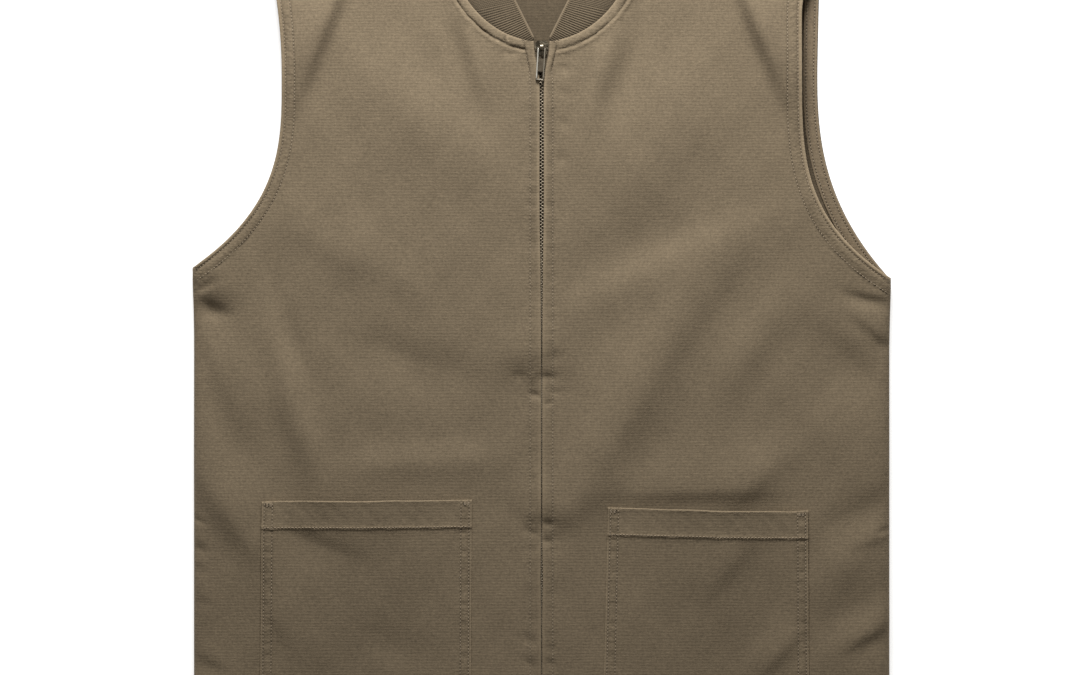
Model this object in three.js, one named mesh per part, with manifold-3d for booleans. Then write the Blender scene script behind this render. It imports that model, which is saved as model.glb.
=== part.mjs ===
// Sleeveless canvas vest with a zip, a rib collar and two patch pockets, lying on its back.
// Millimetres. +X is the wearer's left, +Y runs to the collar, +Z is up, and z = 0 is the
// surface that the back lies on.
import * as THREE from 'three';
import Module from 'manifold-3d';

const wasm = await Module();
wasm.setup();

// Cloth
const CANVAS = 1.2;
const FACING = 1.0;
const RIB = 2.4;
const TAPE = 0.8;
const GAP = 0.3;
const POCKET_GAP = 0.6;

// Body outline
const SIDE_X = 300.5;
const HEM_Y = -376;
const NECK_POINT = { x: 82, y: 345 };
const FRONT_NECK_DROP = 95;
const BACK_NECK_DROP = 17;
const SHOULDER_TIP_Y = 308;
const CORNER_OUT = 1.3;
const CORNER_REACH = 35;
const ARMHOLES = {
  front_left: { side: 1, waistX: 224.4, waistY: 245, power: 4, cornerY: 46, tipX: 241, tipPower: 6 },
  front_right: { side: -1, waistX: 224.3, waistY: 221, power: 3.1, cornerY: 55, tipX: 232.7, tipPower: 2 },
  back_left: { side: 1, waistX: 239.1, waistY: 225, power: 2.6, cornerY: 46, tipX: 241, tipPower: 1.2 },
  back_right: { side: -1, waistX: 222.5, waistY: 221, power: 3.1, cornerY: 55, tipX: 232.7, tipPower: 2 },
};

// Height of the fronts over the back
const SEAM_Z = CANVAS + GAP + CANVAS / 2;
const LOFT = 10.5;
const ZIP_Z = SEAM_Z + LOFT;
const SIDE_ROLL = 26;
const SIDE_POWER = 4;
const SHOULDER_ROLL = 34;
const CALM_FROM = 14;
const CALM_TO = 34;

// Front edges beside the zip, from hem to neck: half of the gap between them
const ZIP_EDGES = [
  { y: HEM_Y, half: 0.6 },
  { y: 0, half: 0.6 },
  { y: 105, half: 2.2 },
  { y: 196, half: 2.5 },
  { y: 212, half: 3.0 },
  { y: 228, half: 4.8 },
  { y: 238, half: 6.6 },
  { y: 250.3, half: 7.0 },
];
const NECK_CORNER = ZIP_EDGES[ZIP_EDGES.length - 1];

// Main folds of the fronts, high or (negative) deep, with the widths on the left and right of the way
const FOLD_TAPER = 0.5;
const FOLDS = [
  { name: 'right shoulder crease', from: [-150, 360], to: [-228, 165], left: 12, right: 24, height: 8.0 },
  { name: 'left shoulder crease', from: [148, 360], to: [230, 160], left: 24, right: 12, height: 9.5 },
  { name: 'right collar drag', from: [-76, 305], to: [-44, 180], left: 12, right: 12, height: 2.6 },
  { name: 'right collar dip', from: [-92, 305], to: [-58, 180], left: 12, right: 12, height: -1.6 },
  { name: 'left collar drag', from: [76, 312], to: [32, 145], left: 12, right: 12, height: 2.6 },
  { name: 'left collar dip', from: [96, 312], to: [54, 145], left: 12, right: 12, height: -1.8 },
  { name: 'right chest swell', from: [-190, 268], to: [-14, 96], left: 30, right: 46, height: 4.6 },
  { name: 'left chest swell', from: [166, 256], to: [36, 84], left: 34, right: 36, height: 3.6 },
  { name: 'left chest valley', from: [-10, 26], to: [185, 120], left: 26, right: 19, height: -2.3 },
  { name: 'left chest ridge', from: [-10, -2], to: [260, 128], left: 19, right: 28, height: 2.6 },
  { name: 'left upper ridge', from: [196, 128], to: [56, -92], left: 22, right: 28, height: 2.5 },
  { name: 'left long ridge', from: [150, 72], to: [-14, -226], left: 23, right: 30, height: 5.4 },
  { name: 'left second ridge', from: [222, 52], to: [130, -98], left: 14, right: 24, height: 2.8 },
  { name: 'left armpit dent', from: [266, -14], to: [322, -16], left: 12, right: 30, height: -2.2 },
  { name: 'left armpit valley', from: [218, 20], to: [312, -76], left: 15, right: 34, height: -3.8 },
  { name: 'left pocket ridge', from: [20, -139], to: [250, -135], left: 30, right: 9, height: 2.4 },
  { name: 'left pocket corner ridge', from: [150, -158], to: [228, -88], left: 24, right: 12, height: 2.3 },
  { name: 'left hip valley', from: [330, -130], to: [225, -182], left: 20, right: 12, height: -1.8 },
  { name: 'left hip ridge', from: [330, -146], to: [205, -246], left: 16, right: 18, height: 1.7 },
  { name: 'left low valley', from: [320, -206], to: [220, -276], left: 16, right: 14, height: -1.4 },
  { name: 'left low ridge', from: [335, -226], to: [236, -290], left: 12, right: 16, height: 1.5 },
  { name: 'right chest ridge', from: [-266, 118], to: [-46, 14], left: 44, right: 20, height: 2.2 },
  { name: 'right waist valley', from: [-222, 8], to: [-4, -62], left: 18, right: 32, height: -2.2 },
  { name: 'right side dip', from: [-250, 92], to: [-192, -72], left: 12, right: 12, height: -1.6 },
  { name: 'right side ridge', from: [-243, 28], to: [-183, -170], left: 13, right: 13, height: 3.6 },
  { name: 'right pocket dip', from: [-195, -94], to: [0, -84], left: 20, right: 12, height: -1.0 },
  { name: 'right pocket ridge', from: [-205, -119], to: [5, -110], left: 12, right: 13, height: 1.4 },
  { name: 'right armpit dent', from: [-324, 12], to: [-248, 12], left: 19, right: 60, height: -6.3 },
  { name: 'right flank ridge', from: [-316, 60], to: [-240, -112], left: 30, right: 12, height: 3.4 },
  { name: 'right hip ridge', from: [-322, -80], to: [-210, -240], left: 30, right: 15, height: 4.2 },
  { name: 'right low ridge', from: [-262, -190], to: [-180, -300], left: 26, right: 12, height: 2.0 },
];

// Grid of a front panel
const ROWS_SIDE = 28;
const ROWS_ARMHOLE = 14;
const ROWS_NECK = 8;
const COLUMNS_INNER = 17;
const EDGE_STEPS = [12, 4, 1.2, 0];
const FACING_KEEP_CORNER = 12;
const FACING_KEEP_TIP = 16;
const FACING_WIDTH = EDGE_STEPS[0];
const FACING_INSET = EDGE_STEPS[2];

// Rib collar
const COLLAR_GAP = 1.0;
const COLLAR_TIP = { x: 6.5, y: 254.5 };
const COLLAR_CORNER = { x: 62, y: 366 };
const COLLAR_TOP_Y = 376;
const COLLAR_LEAD = 1.35;
const COLLAR_SINK = 1.0;
const COLLAR_LIFT = 0.1;
const COLLAR_BACK_Z = RIB / 2 + COLLAR_LIFT;
const COLLAR_TURN = { seam: 1.8, free: 2.2 };
const COLLAR_FREE_SINK = 3.0;
const COLLAR_STATIONS = { front: 10, turn: 5, back: 7 };
const COLLAR_COLUMNS = 4;

// Patch pockets
const POCKETS = {
  pocket_left: {
    side: 1, mouthIn: [57.2, -151.8], mouthOut: [229.9, -155.8], footIn: 52.5, footOut: 231,
  },
  pocket_right: {
    side: -1, mouthIn: [60.2, -145.2], mouthOut: [241.5, -146.2], footIn: 61.3, footOut: 243.6,
  },
};
const POCKET_FOOT_Y = -348;
const POCKET_BULGE = 10;
const POCKET_FADE = 1.5;
const BAND_HEIGHT = 25;
const BAND_EXTRA = 1.2;
const BAND_STEP = 0.5;
const POCKET_REST = 9;
const POCKET_COLUMNS = 13;
const POCKET_ROWS = 9;

// Zip
const TEETH_HALF = 2.6;
const TEETH_HEIGHT = 2.4;
const TEETH_SINK = 0.35;
const TEETH_TOP = ZIP_Z - CANVAS / 2 - TEETH_SINK;
const TEETH_FROM_Y = -365;
const TEETH_TO_Y = 246;
const TAPE_WIDTH = 11;
const TAPE_TO_Y = 246;
const SLIDER = { fromY: 239, toY: 251, topWidth: 11.6, footWidth: 8.6, plate: 1.1, neck: 3.4 };
const SLIDER_CORNERS = { flareY: 246.2, shoulderY: 248.6, chamfer: 2 };
const SLIDER_TOP = TEETH_TOP + GAP + SLIDER.plate;
const BRIDGE = { y: 245.2, rise: 1.7, outer: 2.7, hole: 1.35, width: 2.4, root: 0.4 };
const PULL_AXIS_Z = SLIDER_TOP + BRIDGE.rise;
const PULL = { width: 7.2, length: 29.2, thick: 1.4, bar: 1.5, rail: 1.35, corner: 1.2 };
const PULL_TURN = { lean: -3.4, droop: 1.0 };
const PULL_WINDOWS = [
  { from: 0.75, to: 10.0 },
  { from: 21.0, to: 27.9 },
];
const ZIP_BOX = { width: 9, height: 10, thick: 4 };
const BRIDGE_SEGMENTS = 10;
const CORNER_SEGMENTS = 4;

const materials = {
  canvas: new THREE.MeshStandardMaterial({ color: 0x85765f, roughness: 0.9, metalness: 0 }),
  rib: new THREE.MeshStandardMaterial({ color: 0x6b5e4d, roughness: 0.95, metalness: 0 }),
  tape: new THREE.MeshStandardMaterial({ color: 0x74664f, roughness: 0.9, metalness: 0 }),
  brass: new THREE.MeshStandardMaterial({ color: 0x8c7b52, roughness: 0.4, metalness: 1 }),
};

const part = new THREE.Group();
part.name = 'canvas_vest';

function addPiece(name, geometry, material) {
  const mesh = new THREE.Mesh(geometry, material.clone());
  mesh.name = name;
  part.add(mesh);
}

// Small functions
function steps(from, to, count) {
  return Array.from({ length: count }, (_, i) => from + ((to - from) * i) / (count - 1));
}

function mix(a, b, t) {
  return a + (b - a) * t;
}

function quarterRound(t) {
  const short = 1 - Math.min(1, t);
  return Math.sqrt(1 - short * short);
}

function distanceToLine(x, y, from, to) {
  const run = [to[0] - from[0], to[1] - from[1]];
  const along = ((x - from[0]) * run[0] + (y - from[1]) * run[1]) / (run[0] ** 2 + run[1] ** 2);
  const t = THREE.MathUtils.clamp(along, 0, 1);
  return Math.hypot(x - from[0] - run[0] * t, y - from[1] - run[1] * t);
}

// Outline curves
function armholeX(row, y) {
  const below = Math.max(0, (row.waistY - y) / (row.waistY - row.cornerY));
  const above = Math.max(0, (y - row.waistY) / (SHOULDER_TIP_Y - row.waistY));
  const flare = (SIDE_X + CORNER_OUT - row.waistX) * below ** row.power;
  return row.waistX + flare + (row.tipX - row.waistX) * above ** row.tipPower;
}

function sideX(row, y) {
  const below = Math.max(0, row.cornerY - y) / CORNER_REACH;
  return SIDE_X + CORNER_OUT * Math.exp(-below * below);
}

function zipEdgeX(y) {
  const next = ZIP_EDGES.findIndex((knot) => knot.y >= y);
  if (next <= 0) return ZIP_EDGES[0].half;
  const [a, b] = [ZIP_EDGES[next - 1], ZIP_EDGES[next]];
  return mix(a.half, b.half, (y - a.y) / (b.y - a.y));
}

function neckPoint(angle, drop, clear) {
  return {
    x: (NECK_POINT.x - clear) * Math.sin(angle),
    y: NECK_POINT.y - (drop - clear) * Math.cos(angle),
  };
}

// Height of the middle of a front over the lying surface
function foldRise({ from, to, left, right, height }, x, y) {
  const run = [to[0] - from[0], to[1] - from[1]];
  const length = Math.hypot(run[0], run[1]);
  const along = ((x - from[0]) * run[0] + (y - from[1]) * run[1]) / length ** 2;
  const aside = (run[0] * (y - from[1]) - run[1] * (x - from[0])) / length;
  const start = THREE.MathUtils.smoothstep(along, 0, FOLD_TAPER);
  const end = THREE.MathUtils.smoothstep(1 - along, 0, FOLD_TAPER);
  const far = aside / (aside > 0 ? left : right);
  return height * start * end * Math.exp(-far * far);
}

function foldHeight(x, y) {
  const calm = THREE.MathUtils.smoothstep(Math.abs(x), CALM_FROM, CALM_TO);
  const rises = FOLDS.map((fold) => foldRise(fold, x, y));
  return calm * rises.reduce((sum, rise) => sum + rise, 0);
}

function sideProfile(distance) {
  const short = 1 - Math.min(1, distance / SIDE_ROLL);
  return (1 - short ** SIDE_POWER) ** (1 / SIDE_POWER);
}

function frontHeight(row, x, y) {
  const inward = Math.max(0, sideX(row, y) - Math.abs(x));
  const toSide = Math.hypot(inward, Math.max(0, y - row.cornerY));
  const tip = [row.tipX, SHOULDER_TIP_Y];
  const toSeam = distanceToLine(Math.abs(x), y, [NECK_POINT.x, NECK_POINT.y], tip);
  const open = sideProfile(toSide) * quarterRound(toSeam / SHOULDER_ROLL);
  return SEAM_Z + (LOFT + foldHeight(x, y)) * open;
}

// A sheet: rows of middle points, made thick along its normals
function sheetNormal(grid, r, c) {
  const lastRow = grid.length - 1;
  const lastColumn = grid[0].length - 1;
  const across = grid[r][Math.min(c + 1, lastColumn)].clone().sub(grid[r][Math.max(c - 1, 0)]);
  const along = grid[Math.min(r + 1, lastRow)][c].clone().sub(grid[Math.max(r - 1, 0)][c]);
  return across.cross(along).normalize();
}

function sheetLayer(grid, offset) {
  return grid.map((line, r) => line.map((point, c) => {
    return point.clone().addScaledVector(sheetNormal(grid, r, c), offset(r, c));
  }));
}

function sheetRim(rows, columns) {
  const rim = [];
  for (let c = 0; c < columns - 1; c += 1) rim.push([0, c]);
  for (let r = 0; r < rows - 1; r += 1) rim.push([r, columns - 1]);
  for (let c = columns - 1; c > 0; c -= 1) rim.push([rows - 1, c]);
  for (let r = rows - 1; r > 0; r -= 1) rim.push([r, 0]);
  return rim;
}

function sheetSolid(grid, thick, extra = () => 0) {
  const rows = grid.length;
  const columns = grid[0].length;
  const over = sheetLayer(grid, (r, c) => thick / 2 + extra(r, c)).flat();
  const under = sheetLayer(grid, () => -thick / 2).flat();
  const top = (r, c) => r * columns + c;
  const bottom = (r, c) => rows * columns + top(r, c);
  const index = [];
  for (let r = 0; r < rows - 1; r += 1) {
    for (let c = 0; c < columns - 1; c += 1) {
      index.push(top(r, c), top(r, c + 1), top(r + 1, c + 1));
      index.push(top(r, c), top(r + 1, c + 1), top(r + 1, c));
      index.push(bottom(r, c), bottom(r + 1, c + 1), bottom(r, c + 1));
      index.push(bottom(r, c), bottom(r + 1, c), bottom(r + 1, c + 1));
    }
  }
  const rim = sheetRim(rows, columns);
  rim.forEach(([r, c], i) => {
    const [nr, nc] = rim[(i + 1) % rim.length];
    index.push(top(r, c), bottom(r, c), bottom(nr, nc));
    index.push(top(r, c), bottom(nr, nc), top(nr, nc));
  });
  const geometry = new THREE.BufferGeometry().setFromPoints([...over, ...under]);
  geometry.setIndex(index);
  geometry.computeVertexNormals();
  return geometry;
}

// Front panels
function frontRowEnds(row) {
  const below = steps(HEM_Y, row.cornerY, ROWS_SIDE);
  const beside = steps(row.cornerY, NECK_CORNER.y, ROWS_ARMHOLE).slice(1);
  const ends = below.map((y) => ({ inner: [zipEdgeX(y), y], outer: [sideX(row, y), y] }));
  for (const y of beside) ends.push({ inner: [zipEdgeX(y), y], outer: [armholeX(row, y), y] });
  const start = Math.asin(NECK_CORNER.half / NECK_POINT.x);
  for (const t of steps(0, 1, ROWS_NECK).slice(1)) {
    const neck = neckPoint(mix(start, Math.PI / 2, t), FRONT_NECK_DROP, 0);
    const y = mix(NECK_CORNER.y, SHOULDER_TIP_Y, t);
    ends.push({ inner: [neck.x, neck.y], outer: [armholeX(row, y), y] });
  }
  return ends;
}

function frontLine(row, { inner, outer }) {
  const width = Math.hypot(outer[0] - inner[0], outer[1] - inner[1]);
  const even = steps(0, 1 - (2 * EDGE_STEPS[0]) / width, COLUMNS_INNER);
  const edge = EDGE_STEPS.map((step) => 1 - step / width);
  const line = [...even, ...edge].map((t) => {
    const x = row.side * mix(inner[0], outer[0], t);
    const y = mix(inner[1], outer[1], t);
    return new THREE.Vector3(x, y, frontHeight(row, x, y));
  });
  return row.side > 0 ? line : line.reverse();
}

function frontGrid(row) {
  return frontRowEnds(row).map((ends) => frontLine(row, ends));
}

// Armhole facings
function facingRows(row) {
  const low = row.cornerY + FACING_KEEP_CORNER;
  const high = SHOULDER_TIP_Y - FACING_KEEP_TIP;
  return { low, high };
}

function frontFacing(row, grid) {
  const { low, high } = facingRows(row);
  const outer = row.side > 0 ? grid[0].length - 1 : 0;
  const under = sheetLayer(grid, () => -(CANVAS / 2 + GAP + FACING / 2));
  const picked = under.filter((line, r) => grid[r][outer].y > low && grid[r][outer].y < high);
  const strip = EDGE_STEPS.length;
  return picked.map((line) => (row.side > 0 ? line.slice(-strip, -1) : line.slice(1, strip)));
}

function backFacing(row) {
  const { low, high } = facingRows(row);
  const z = CANVAS + GAP + FACING / 2;
  return steps(low, high, ROWS_ARMHOLE).map((y) => {
    const edge = armholeX(row, y);
    const line = [FACING_WIDTH, FACING_INSET].map((inset) => {
      return new THREE.Vector3(row.side * (edge - inset), y, z);
    });
    return row.side > 0 ? line : line.reverse();
  });
}

// Back panel: a flat plate
function backEdge(row) {
  const side = steps(HEM_Y, row.cornerY, ROWS_SIDE).slice(0, -1);
  const armhole = steps(row.cornerY, SHOULDER_TIP_Y, ROWS_ARMHOLE * 2);
  return [
    ...side.map((y) => new THREE.Vector2(row.side * sideX(row, y), y)),
    ...armhole.map((y) => new THREE.Vector2(row.side * armholeX(row, y), y)),
  ];
}

function backPanel() {
  const neck = steps(Math.PI / 2, -Math.PI / 2, ROWS_NECK * 2).map((angle) => {
    const point = neckPoint(angle, BACK_NECK_DROP, 0);
    return new THREE.Vector2(point.x, point.y);
  });
  const outline = [
    ...backEdge(ARMHOLES.back_left),
    ...neck,
    ...backEdge(ARMHOLES.back_right).reverse(),
  ];
  const flat = { depth: CANVAS, bevelEnabled: false };
  return new THREE.ExtrudeGeometry(new THREE.Shape(outline), flat);
}

// Rib collar: stations from the zip round to the middle of the back, then mirrored
function collarFrontStations() {
  const start = Math.asin(NECK_CORNER.half / NECK_POINT.x);
  const row = ARMHOLES.front_left;
  return steps(0, 1, COLLAR_STATIONS.front).map((t) => {
    const seam = neckPoint(mix(start, Math.PI / 2, t), FRONT_NECK_DROP, COLLAR_GAP);
    const lead = t ** COLLAR_LEAD;
    const turnedSeam = COLLAR_BACK_Z + 2 * COLLAR_TURN.seam;
    const turnedFree = COLLAR_BACK_Z + 2 * COLLAR_TURN.free;
    const seamZ = Math.max(turnedSeam, frontHeight(row, seam.x, seam.y) - COLLAR_SINK);
    return {
      seam: new THREE.Vector3(seam.x, seam.y, seamZ),
      free: new THREE.Vector3(
        mix(COLLAR_TIP.x, COLLAR_CORNER.x, lead),
        mix(COLLAR_TIP.y, COLLAR_CORNER.y, lead),
        mix(ZIP_Z - COLLAR_FREE_SINK, turnedFree, lead),
      ),
    };
  });
}

function collarTurnStations() {
  const line = new THREE.Vector2(COLLAR_CORNER.x - NECK_POINT.x, COLLAR_CORNER.y - NECK_POINT.y);
  const out = new THREE.Vector2(line.y, -line.x).normalize();
  const seamAt = neckPoint(Math.PI / 2, FRONT_NECK_DROP, COLLAR_GAP);
  const turned = (at, radius, angle) => new THREE.Vector3(
    at.x + out.x * radius * Math.sin(angle),
    at.y + out.y * radius * Math.sin(angle),
    COLLAR_BACK_Z + radius * (1 + Math.cos(angle)),
  );
  return steps(0, Math.PI, COLLAR_STATIONS.turn).slice(1, -1).map((angle) => ({
    seam: turned(seamAt, COLLAR_TURN.seam, angle),
    free: turned(COLLAR_CORNER, COLLAR_TURN.free, angle),
  }));
}

function collarBackStations() {
  return steps(0, Math.PI / 2, COLLAR_STATIONS.back).map((angle) => ({
    seam: new THREE.Vector3(
      (NECK_POINT.x - COLLAR_GAP) * Math.cos(angle),
      NECK_POINT.y + COLLAR_GAP - BACK_NECK_DROP * Math.sin(angle),
      COLLAR_BACK_Z,
    ),
    free: new THREE.Vector3(
      COLLAR_CORNER.x * Math.cos(angle),
      mix(COLLAR_CORNER.y, COLLAR_TOP_Y, Math.sin(angle)),
      COLLAR_BACK_Z,
    ),
  }));
}

function mirrored(point) {
  return new THREE.Vector3(-point.x, point.y, point.z);
}

function collarGrid() {
  const half = [...collarFrontStations(), ...collarTurnStations(), ...collarBackStations()];
  const other = half.slice(0, -1).reverse();
  const all = [
    ...half,
    ...other.map(({ seam, free }) => ({ seam: mirrored(seam), free: mirrored(free) })),
  ];
  return all.map(({ seam, free }) => {
    return steps(0, 1, COLLAR_COLUMNS).map((t) => free.clone().lerp(seam, t));
  });
}

// Patch pockets, sewn at the sides and foot, open and bulging at the mouth.
// A pocket rests on the highest cloth close to each of its points and so bridges narrow folds.
function restHeight(row, x, y) {
  const shifts = [-POCKET_REST, 0, POCKET_REST];
  const near = shifts.flatMap((dx) => shifts.map((dy) => frontHeight(row, x + dx, y + dy)));
  return Math.max(...near);
}

function pocketPoint(pocket, across, down) {
  const mouth = [0, 1].map((i) => mix(pocket.mouthIn[i], pocket.mouthOut[i], across));
  const foot = [mix(pocket.footIn, pocket.footOut, across), POCKET_FOOT_Y];
  const x = pocket.side * mix(mouth[0], foot[0], down);
  const y = mix(mouth[1], foot[1], down);
  const crown = (1 - (2 * across - 1) ** 2) ** 2;
  const bulge = POCKET_BULGE * crown * (1 - down) ** POCKET_FADE;
  const row = pocket.side > 0 ? ARMHOLES.front_left : ARMHOLES.front_right;
  const z = restHeight(row, x, y) + CANVAS + POCKET_GAP + bulge;
  return new THREE.Vector3(x, y, z);
}

function pocketSolid(pocket) {
  const tall = pocket.mouthIn[1] - POCKET_FOOT_Y;
  const band = BAND_HEIGHT / tall;
  const bandRows = [0, band / 2, band];
  const below = steps(band + BAND_STEP / tall, 1, POCKET_ROWS);
  const downs = [...bandRows, ...below].reverse();
  const acrosses = steps(0, 1, POCKET_COLUMNS);
  const grid = downs.map((down) => {
    const line = acrosses.map((across) => pocketPoint(pocket, across, down));
    return pocket.side > 0 ? line : line.reverse();
  });
  return sheetSolid(grid, CANVAS, (r) => (r >= below.length ? BAND_EXTRA : 0));
}

// Zip: tapes, teeth and retainer
function block(width, fromY, toY, thick, x, topZ) {
  const box = new THREE.BoxGeometry(width, toY - fromY, thick);
  box.translate(x, (fromY + toY) / 2, topZ - thick / 2);
  return box;
}

function zipTape(side) {
  const x = side * (TEETH_HALF + GAP + TAPE_WIDTH / 2);
  const top = TEETH_TOP - (TEETH_HEIGHT - TAPE) / 2;
  return block(TAPE_WIDTH, TEETH_FROM_Y, TAPE_TO_Y, TAPE, x, top);
}

function zipTeeth(side) {
  const width = TEETH_HALF - GAP / 2;
  const x = side * (GAP / 2 + width / 2);
  return block(width, TEETH_FROM_Y, TEETH_TO_Y, TEETH_HEIGHT, x, TEETH_TOP);
}

function zipBox() {
  const toY = TEETH_FROM_Y - GAP;
  const top = TEETH_TOP + (ZIP_BOX.thick - TEETH_HEIGHT) / 2 - GAP * 2;
  return block(ZIP_BOX.width, toY - ZIP_BOX.height, toY, ZIP_BOX.thick, 0, top);
}

// Slider: two plates joined at the top, cut to a tapered outline, with a bridge on it
function acrossX(shape, width) {
  const straight = { depth: width, bevelEnabled: false, curveSegments: BRIDGE_SEGMENTS };
  const solid = new THREE.ExtrudeGeometry(shape, straight);
  solid.translate(0, 0, -width / 2);
  const [x, y, z] = [[1, 0, 0], [0, 1, 0], [0, 0, 1]].map((axis) => new THREE.Vector3(...axis));
  return solid.applyMatrix4(new THREE.Matrix4().makeBasis(y, z, x));
}

function toManifold(geometry) {
  const place = geometry.getAttribute('position');
  const order = geometry.index ? geometry.index.array : Array.from({ length: place.count }, (_, i) => i);
  const mesh = new wasm.Mesh({
    numProp: 3,
    vertProperties: new Float32Array(place.array),
    triVerts: new Uint32Array(order),
  });
  mesh.merge();
  return new wasm.Manifold(mesh);
}

function fromManifold(solid) {
  const mesh = solid.getMesh();
  const geometry = new THREE.BufferGeometry();
  geometry.setAttribute('position', new THREE.BufferAttribute(new Float32Array(mesh.vertProperties), 3));
  geometry.setIndex(new THREE.BufferAttribute(new Uint32Array(mesh.triVerts), 1));
  geometry.computeVertexNormals();
  return geometry;
}

function sliderClip() {
  const { fromY, toY, topWidth, footWidth } = SLIDER;
  const { flareY, shoulderY, chamfer } = SLIDER_CORNERS;
  const channelTop = TEETH_TOP + GAP;
  const channelFoot = TEETH_TOP - TEETH_HEIGHT - GAP;
  const foot = channelFoot - SLIDER.plate;
  const side = new THREE.Shape([
    new THREE.Vector2(fromY, foot),
    new THREE.Vector2(toY, foot),
    new THREE.Vector2(toY, SLIDER_TOP),
    new THREE.Vector2(fromY, SLIDER_TOP),
    new THREE.Vector2(fromY, channelTop),
    new THREE.Vector2(toY - SLIDER.neck, channelTop),
    new THREE.Vector2(toY - SLIDER.neck, channelFoot),
    new THREE.Vector2(fromY, channelFoot),
  ]);
  const plan = new THREE.Shape([
    new THREE.Vector2(-footWidth / 2, fromY),
    new THREE.Vector2(footWidth / 2, fromY),
    new THREE.Vector2(topWidth / 2, flareY),
    new THREE.Vector2(topWidth / 2, shoulderY),
    new THREE.Vector2(topWidth / 2 - chamfer, toY),
    new THREE.Vector2(-topWidth / 2 + chamfer, toY),
    new THREE.Vector2(-topWidth / 2, shoulderY),
    new THREE.Vector2(-topWidth / 2, flareY),
  ]);
  const tall = new THREE.ExtrudeGeometry(plan, { depth: 2 * SLIDER_TOP, bevelEnabled: false });
  return toManifold(acrossX(side, topWidth)).intersect(toManifold(tall));
}

function sliderBridge() {
  const { rise, outer, hole, width, root } = BRIDGE;
  const arch = new THREE.Shape();
  arch.moveTo(outer, -root);
  arch.lineTo(outer, rise);
  arch.absarc(0, rise, outer, 0, Math.PI, false);
  arch.lineTo(-outer, -root);
  const eye = new THREE.Path();
  eye.absarc(0, rise, hole, 0, 2 * Math.PI, true);
  arch.holes.push(eye);
  const solid = acrossX(arch, width);
  solid.translate(0, BRIDGE.y, SLIDER_TOP);
  return toManifold(solid);
}

function zipSlider() {
  return fromManifold(sliderClip().add(sliderBridge()));
}

// Pull: a long framed plate that hangs on the bridge
function roundedRect(path, x0, y0, x1, y1, r) {
  path.moveTo(x0 + r, y0);
  path.lineTo(x1 - r, y0);
  path.absarc(x1 - r, y0 + r, r, -Math.PI / 2, 0, false);
  path.lineTo(x1, y1 - r);
  path.absarc(x1 - r, y1 - r, r, 0, Math.PI / 2, false);
  path.lineTo(x0 + r, y1);
  path.absarc(x0 + r, y1 - r, r, Math.PI / 2, Math.PI, false);
  path.lineTo(x0, y0 + r);
  path.absarc(x0 + r, y0 + r, r, Math.PI, 1.5 * Math.PI, false);
  return path;
}

function zipPull() {
  const { width, length, thick, bar, rail, corner } = PULL;
  const plate = roundedRect(new THREE.Shape(), -width / 2, bar / 2 - length, width / 2, bar / 2, corner);
  const half = width / 2 - rail;
  for (const { from, to } of PULL_WINDOWS) {
    plate.holes.push(roundedRect(new THREE.Path(), -half, -to, half, -from, corner / 2));
  }
  const straight = { depth: thick, bevelEnabled: false, curveSegments: CORNER_SEGMENTS };
  const solid = new THREE.ExtrudeGeometry(plate, straight);
  solid.translate(0, 0, -thick / 2);
  solid.rotateZ(THREE.MathUtils.degToRad(PULL_TURN.lean));
  solid.rotateX(THREE.MathUtils.degToRad(PULL_TURN.droop));
  solid.translate(0, BRIDGE.y, PULL_AXIS_Z);
  return solid;
}

addPiece('back_panel', backPanel(), materials.canvas);
for (const side of ['left', 'right']) {
  const front = ARMHOLES[`front_${side}`];
  const back = ARMHOLES[`back_${side}`];
  const grid = frontGrid(front);
  addPiece(`front_${side}_panel`, sheetSolid(grid, CANVAS), materials.canvas);
  addPiece(`armhole_facing_front_${side}`, sheetSolid(frontFacing(front, grid), FACING), materials.canvas);
  addPiece(`armhole_facing_back_${side}`, sheetSolid(backFacing(back), FACING), materials.canvas);
  addPiece(`pocket_${side}`, pocketSolid(POCKETS[`pocket_${side}`]), materials.canvas);
  addPiece(`zip_tape_${side}`, zipTape(front.side), materials.tape);
  addPiece(`zip_teeth_${side}`, zipTeeth(front.side), materials.brass);
}
addPiece('collar_rib', sheetSolid(collarGrid(), RIB), materials.rib);
addPiece('zip_slider', zipSlider(), materials.brass);
addPiece('zip_pull', zipPull(), materials.brass);
addPiece('zip_box', zipBox(), materials.brass);

export default part;
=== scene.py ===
import math
from collections import namedtuple

import bpy
import numpy as np
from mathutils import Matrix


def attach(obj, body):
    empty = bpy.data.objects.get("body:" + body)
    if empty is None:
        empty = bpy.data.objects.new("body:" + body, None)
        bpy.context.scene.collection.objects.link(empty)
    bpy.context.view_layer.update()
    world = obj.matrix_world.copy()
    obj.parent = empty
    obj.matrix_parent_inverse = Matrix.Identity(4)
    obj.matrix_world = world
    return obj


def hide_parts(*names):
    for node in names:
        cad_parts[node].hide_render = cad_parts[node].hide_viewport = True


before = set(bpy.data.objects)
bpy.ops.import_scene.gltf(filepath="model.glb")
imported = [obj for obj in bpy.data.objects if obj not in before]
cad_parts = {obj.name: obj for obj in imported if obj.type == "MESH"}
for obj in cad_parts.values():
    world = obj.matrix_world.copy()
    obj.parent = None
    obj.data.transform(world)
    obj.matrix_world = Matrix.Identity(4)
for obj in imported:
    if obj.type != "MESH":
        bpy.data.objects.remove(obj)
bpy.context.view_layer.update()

# All sizes are in millimetres and become metres where a mesh is made
MM = 0.001

# Keeps a root's slope finite at the ends of an arch
TINY = 1e-9

# Cloth
CANVAS = 1.2
FACING = 1.0
RIB = 2.4
TAPE = 0.8
GAP = 0.3
SEAM_RADIUS = 1.25
SEAM_INSET = 0.5
SEAM_STEP = 4.0
SEAM_SHARES = (0.02, 0.98, 50)

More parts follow.
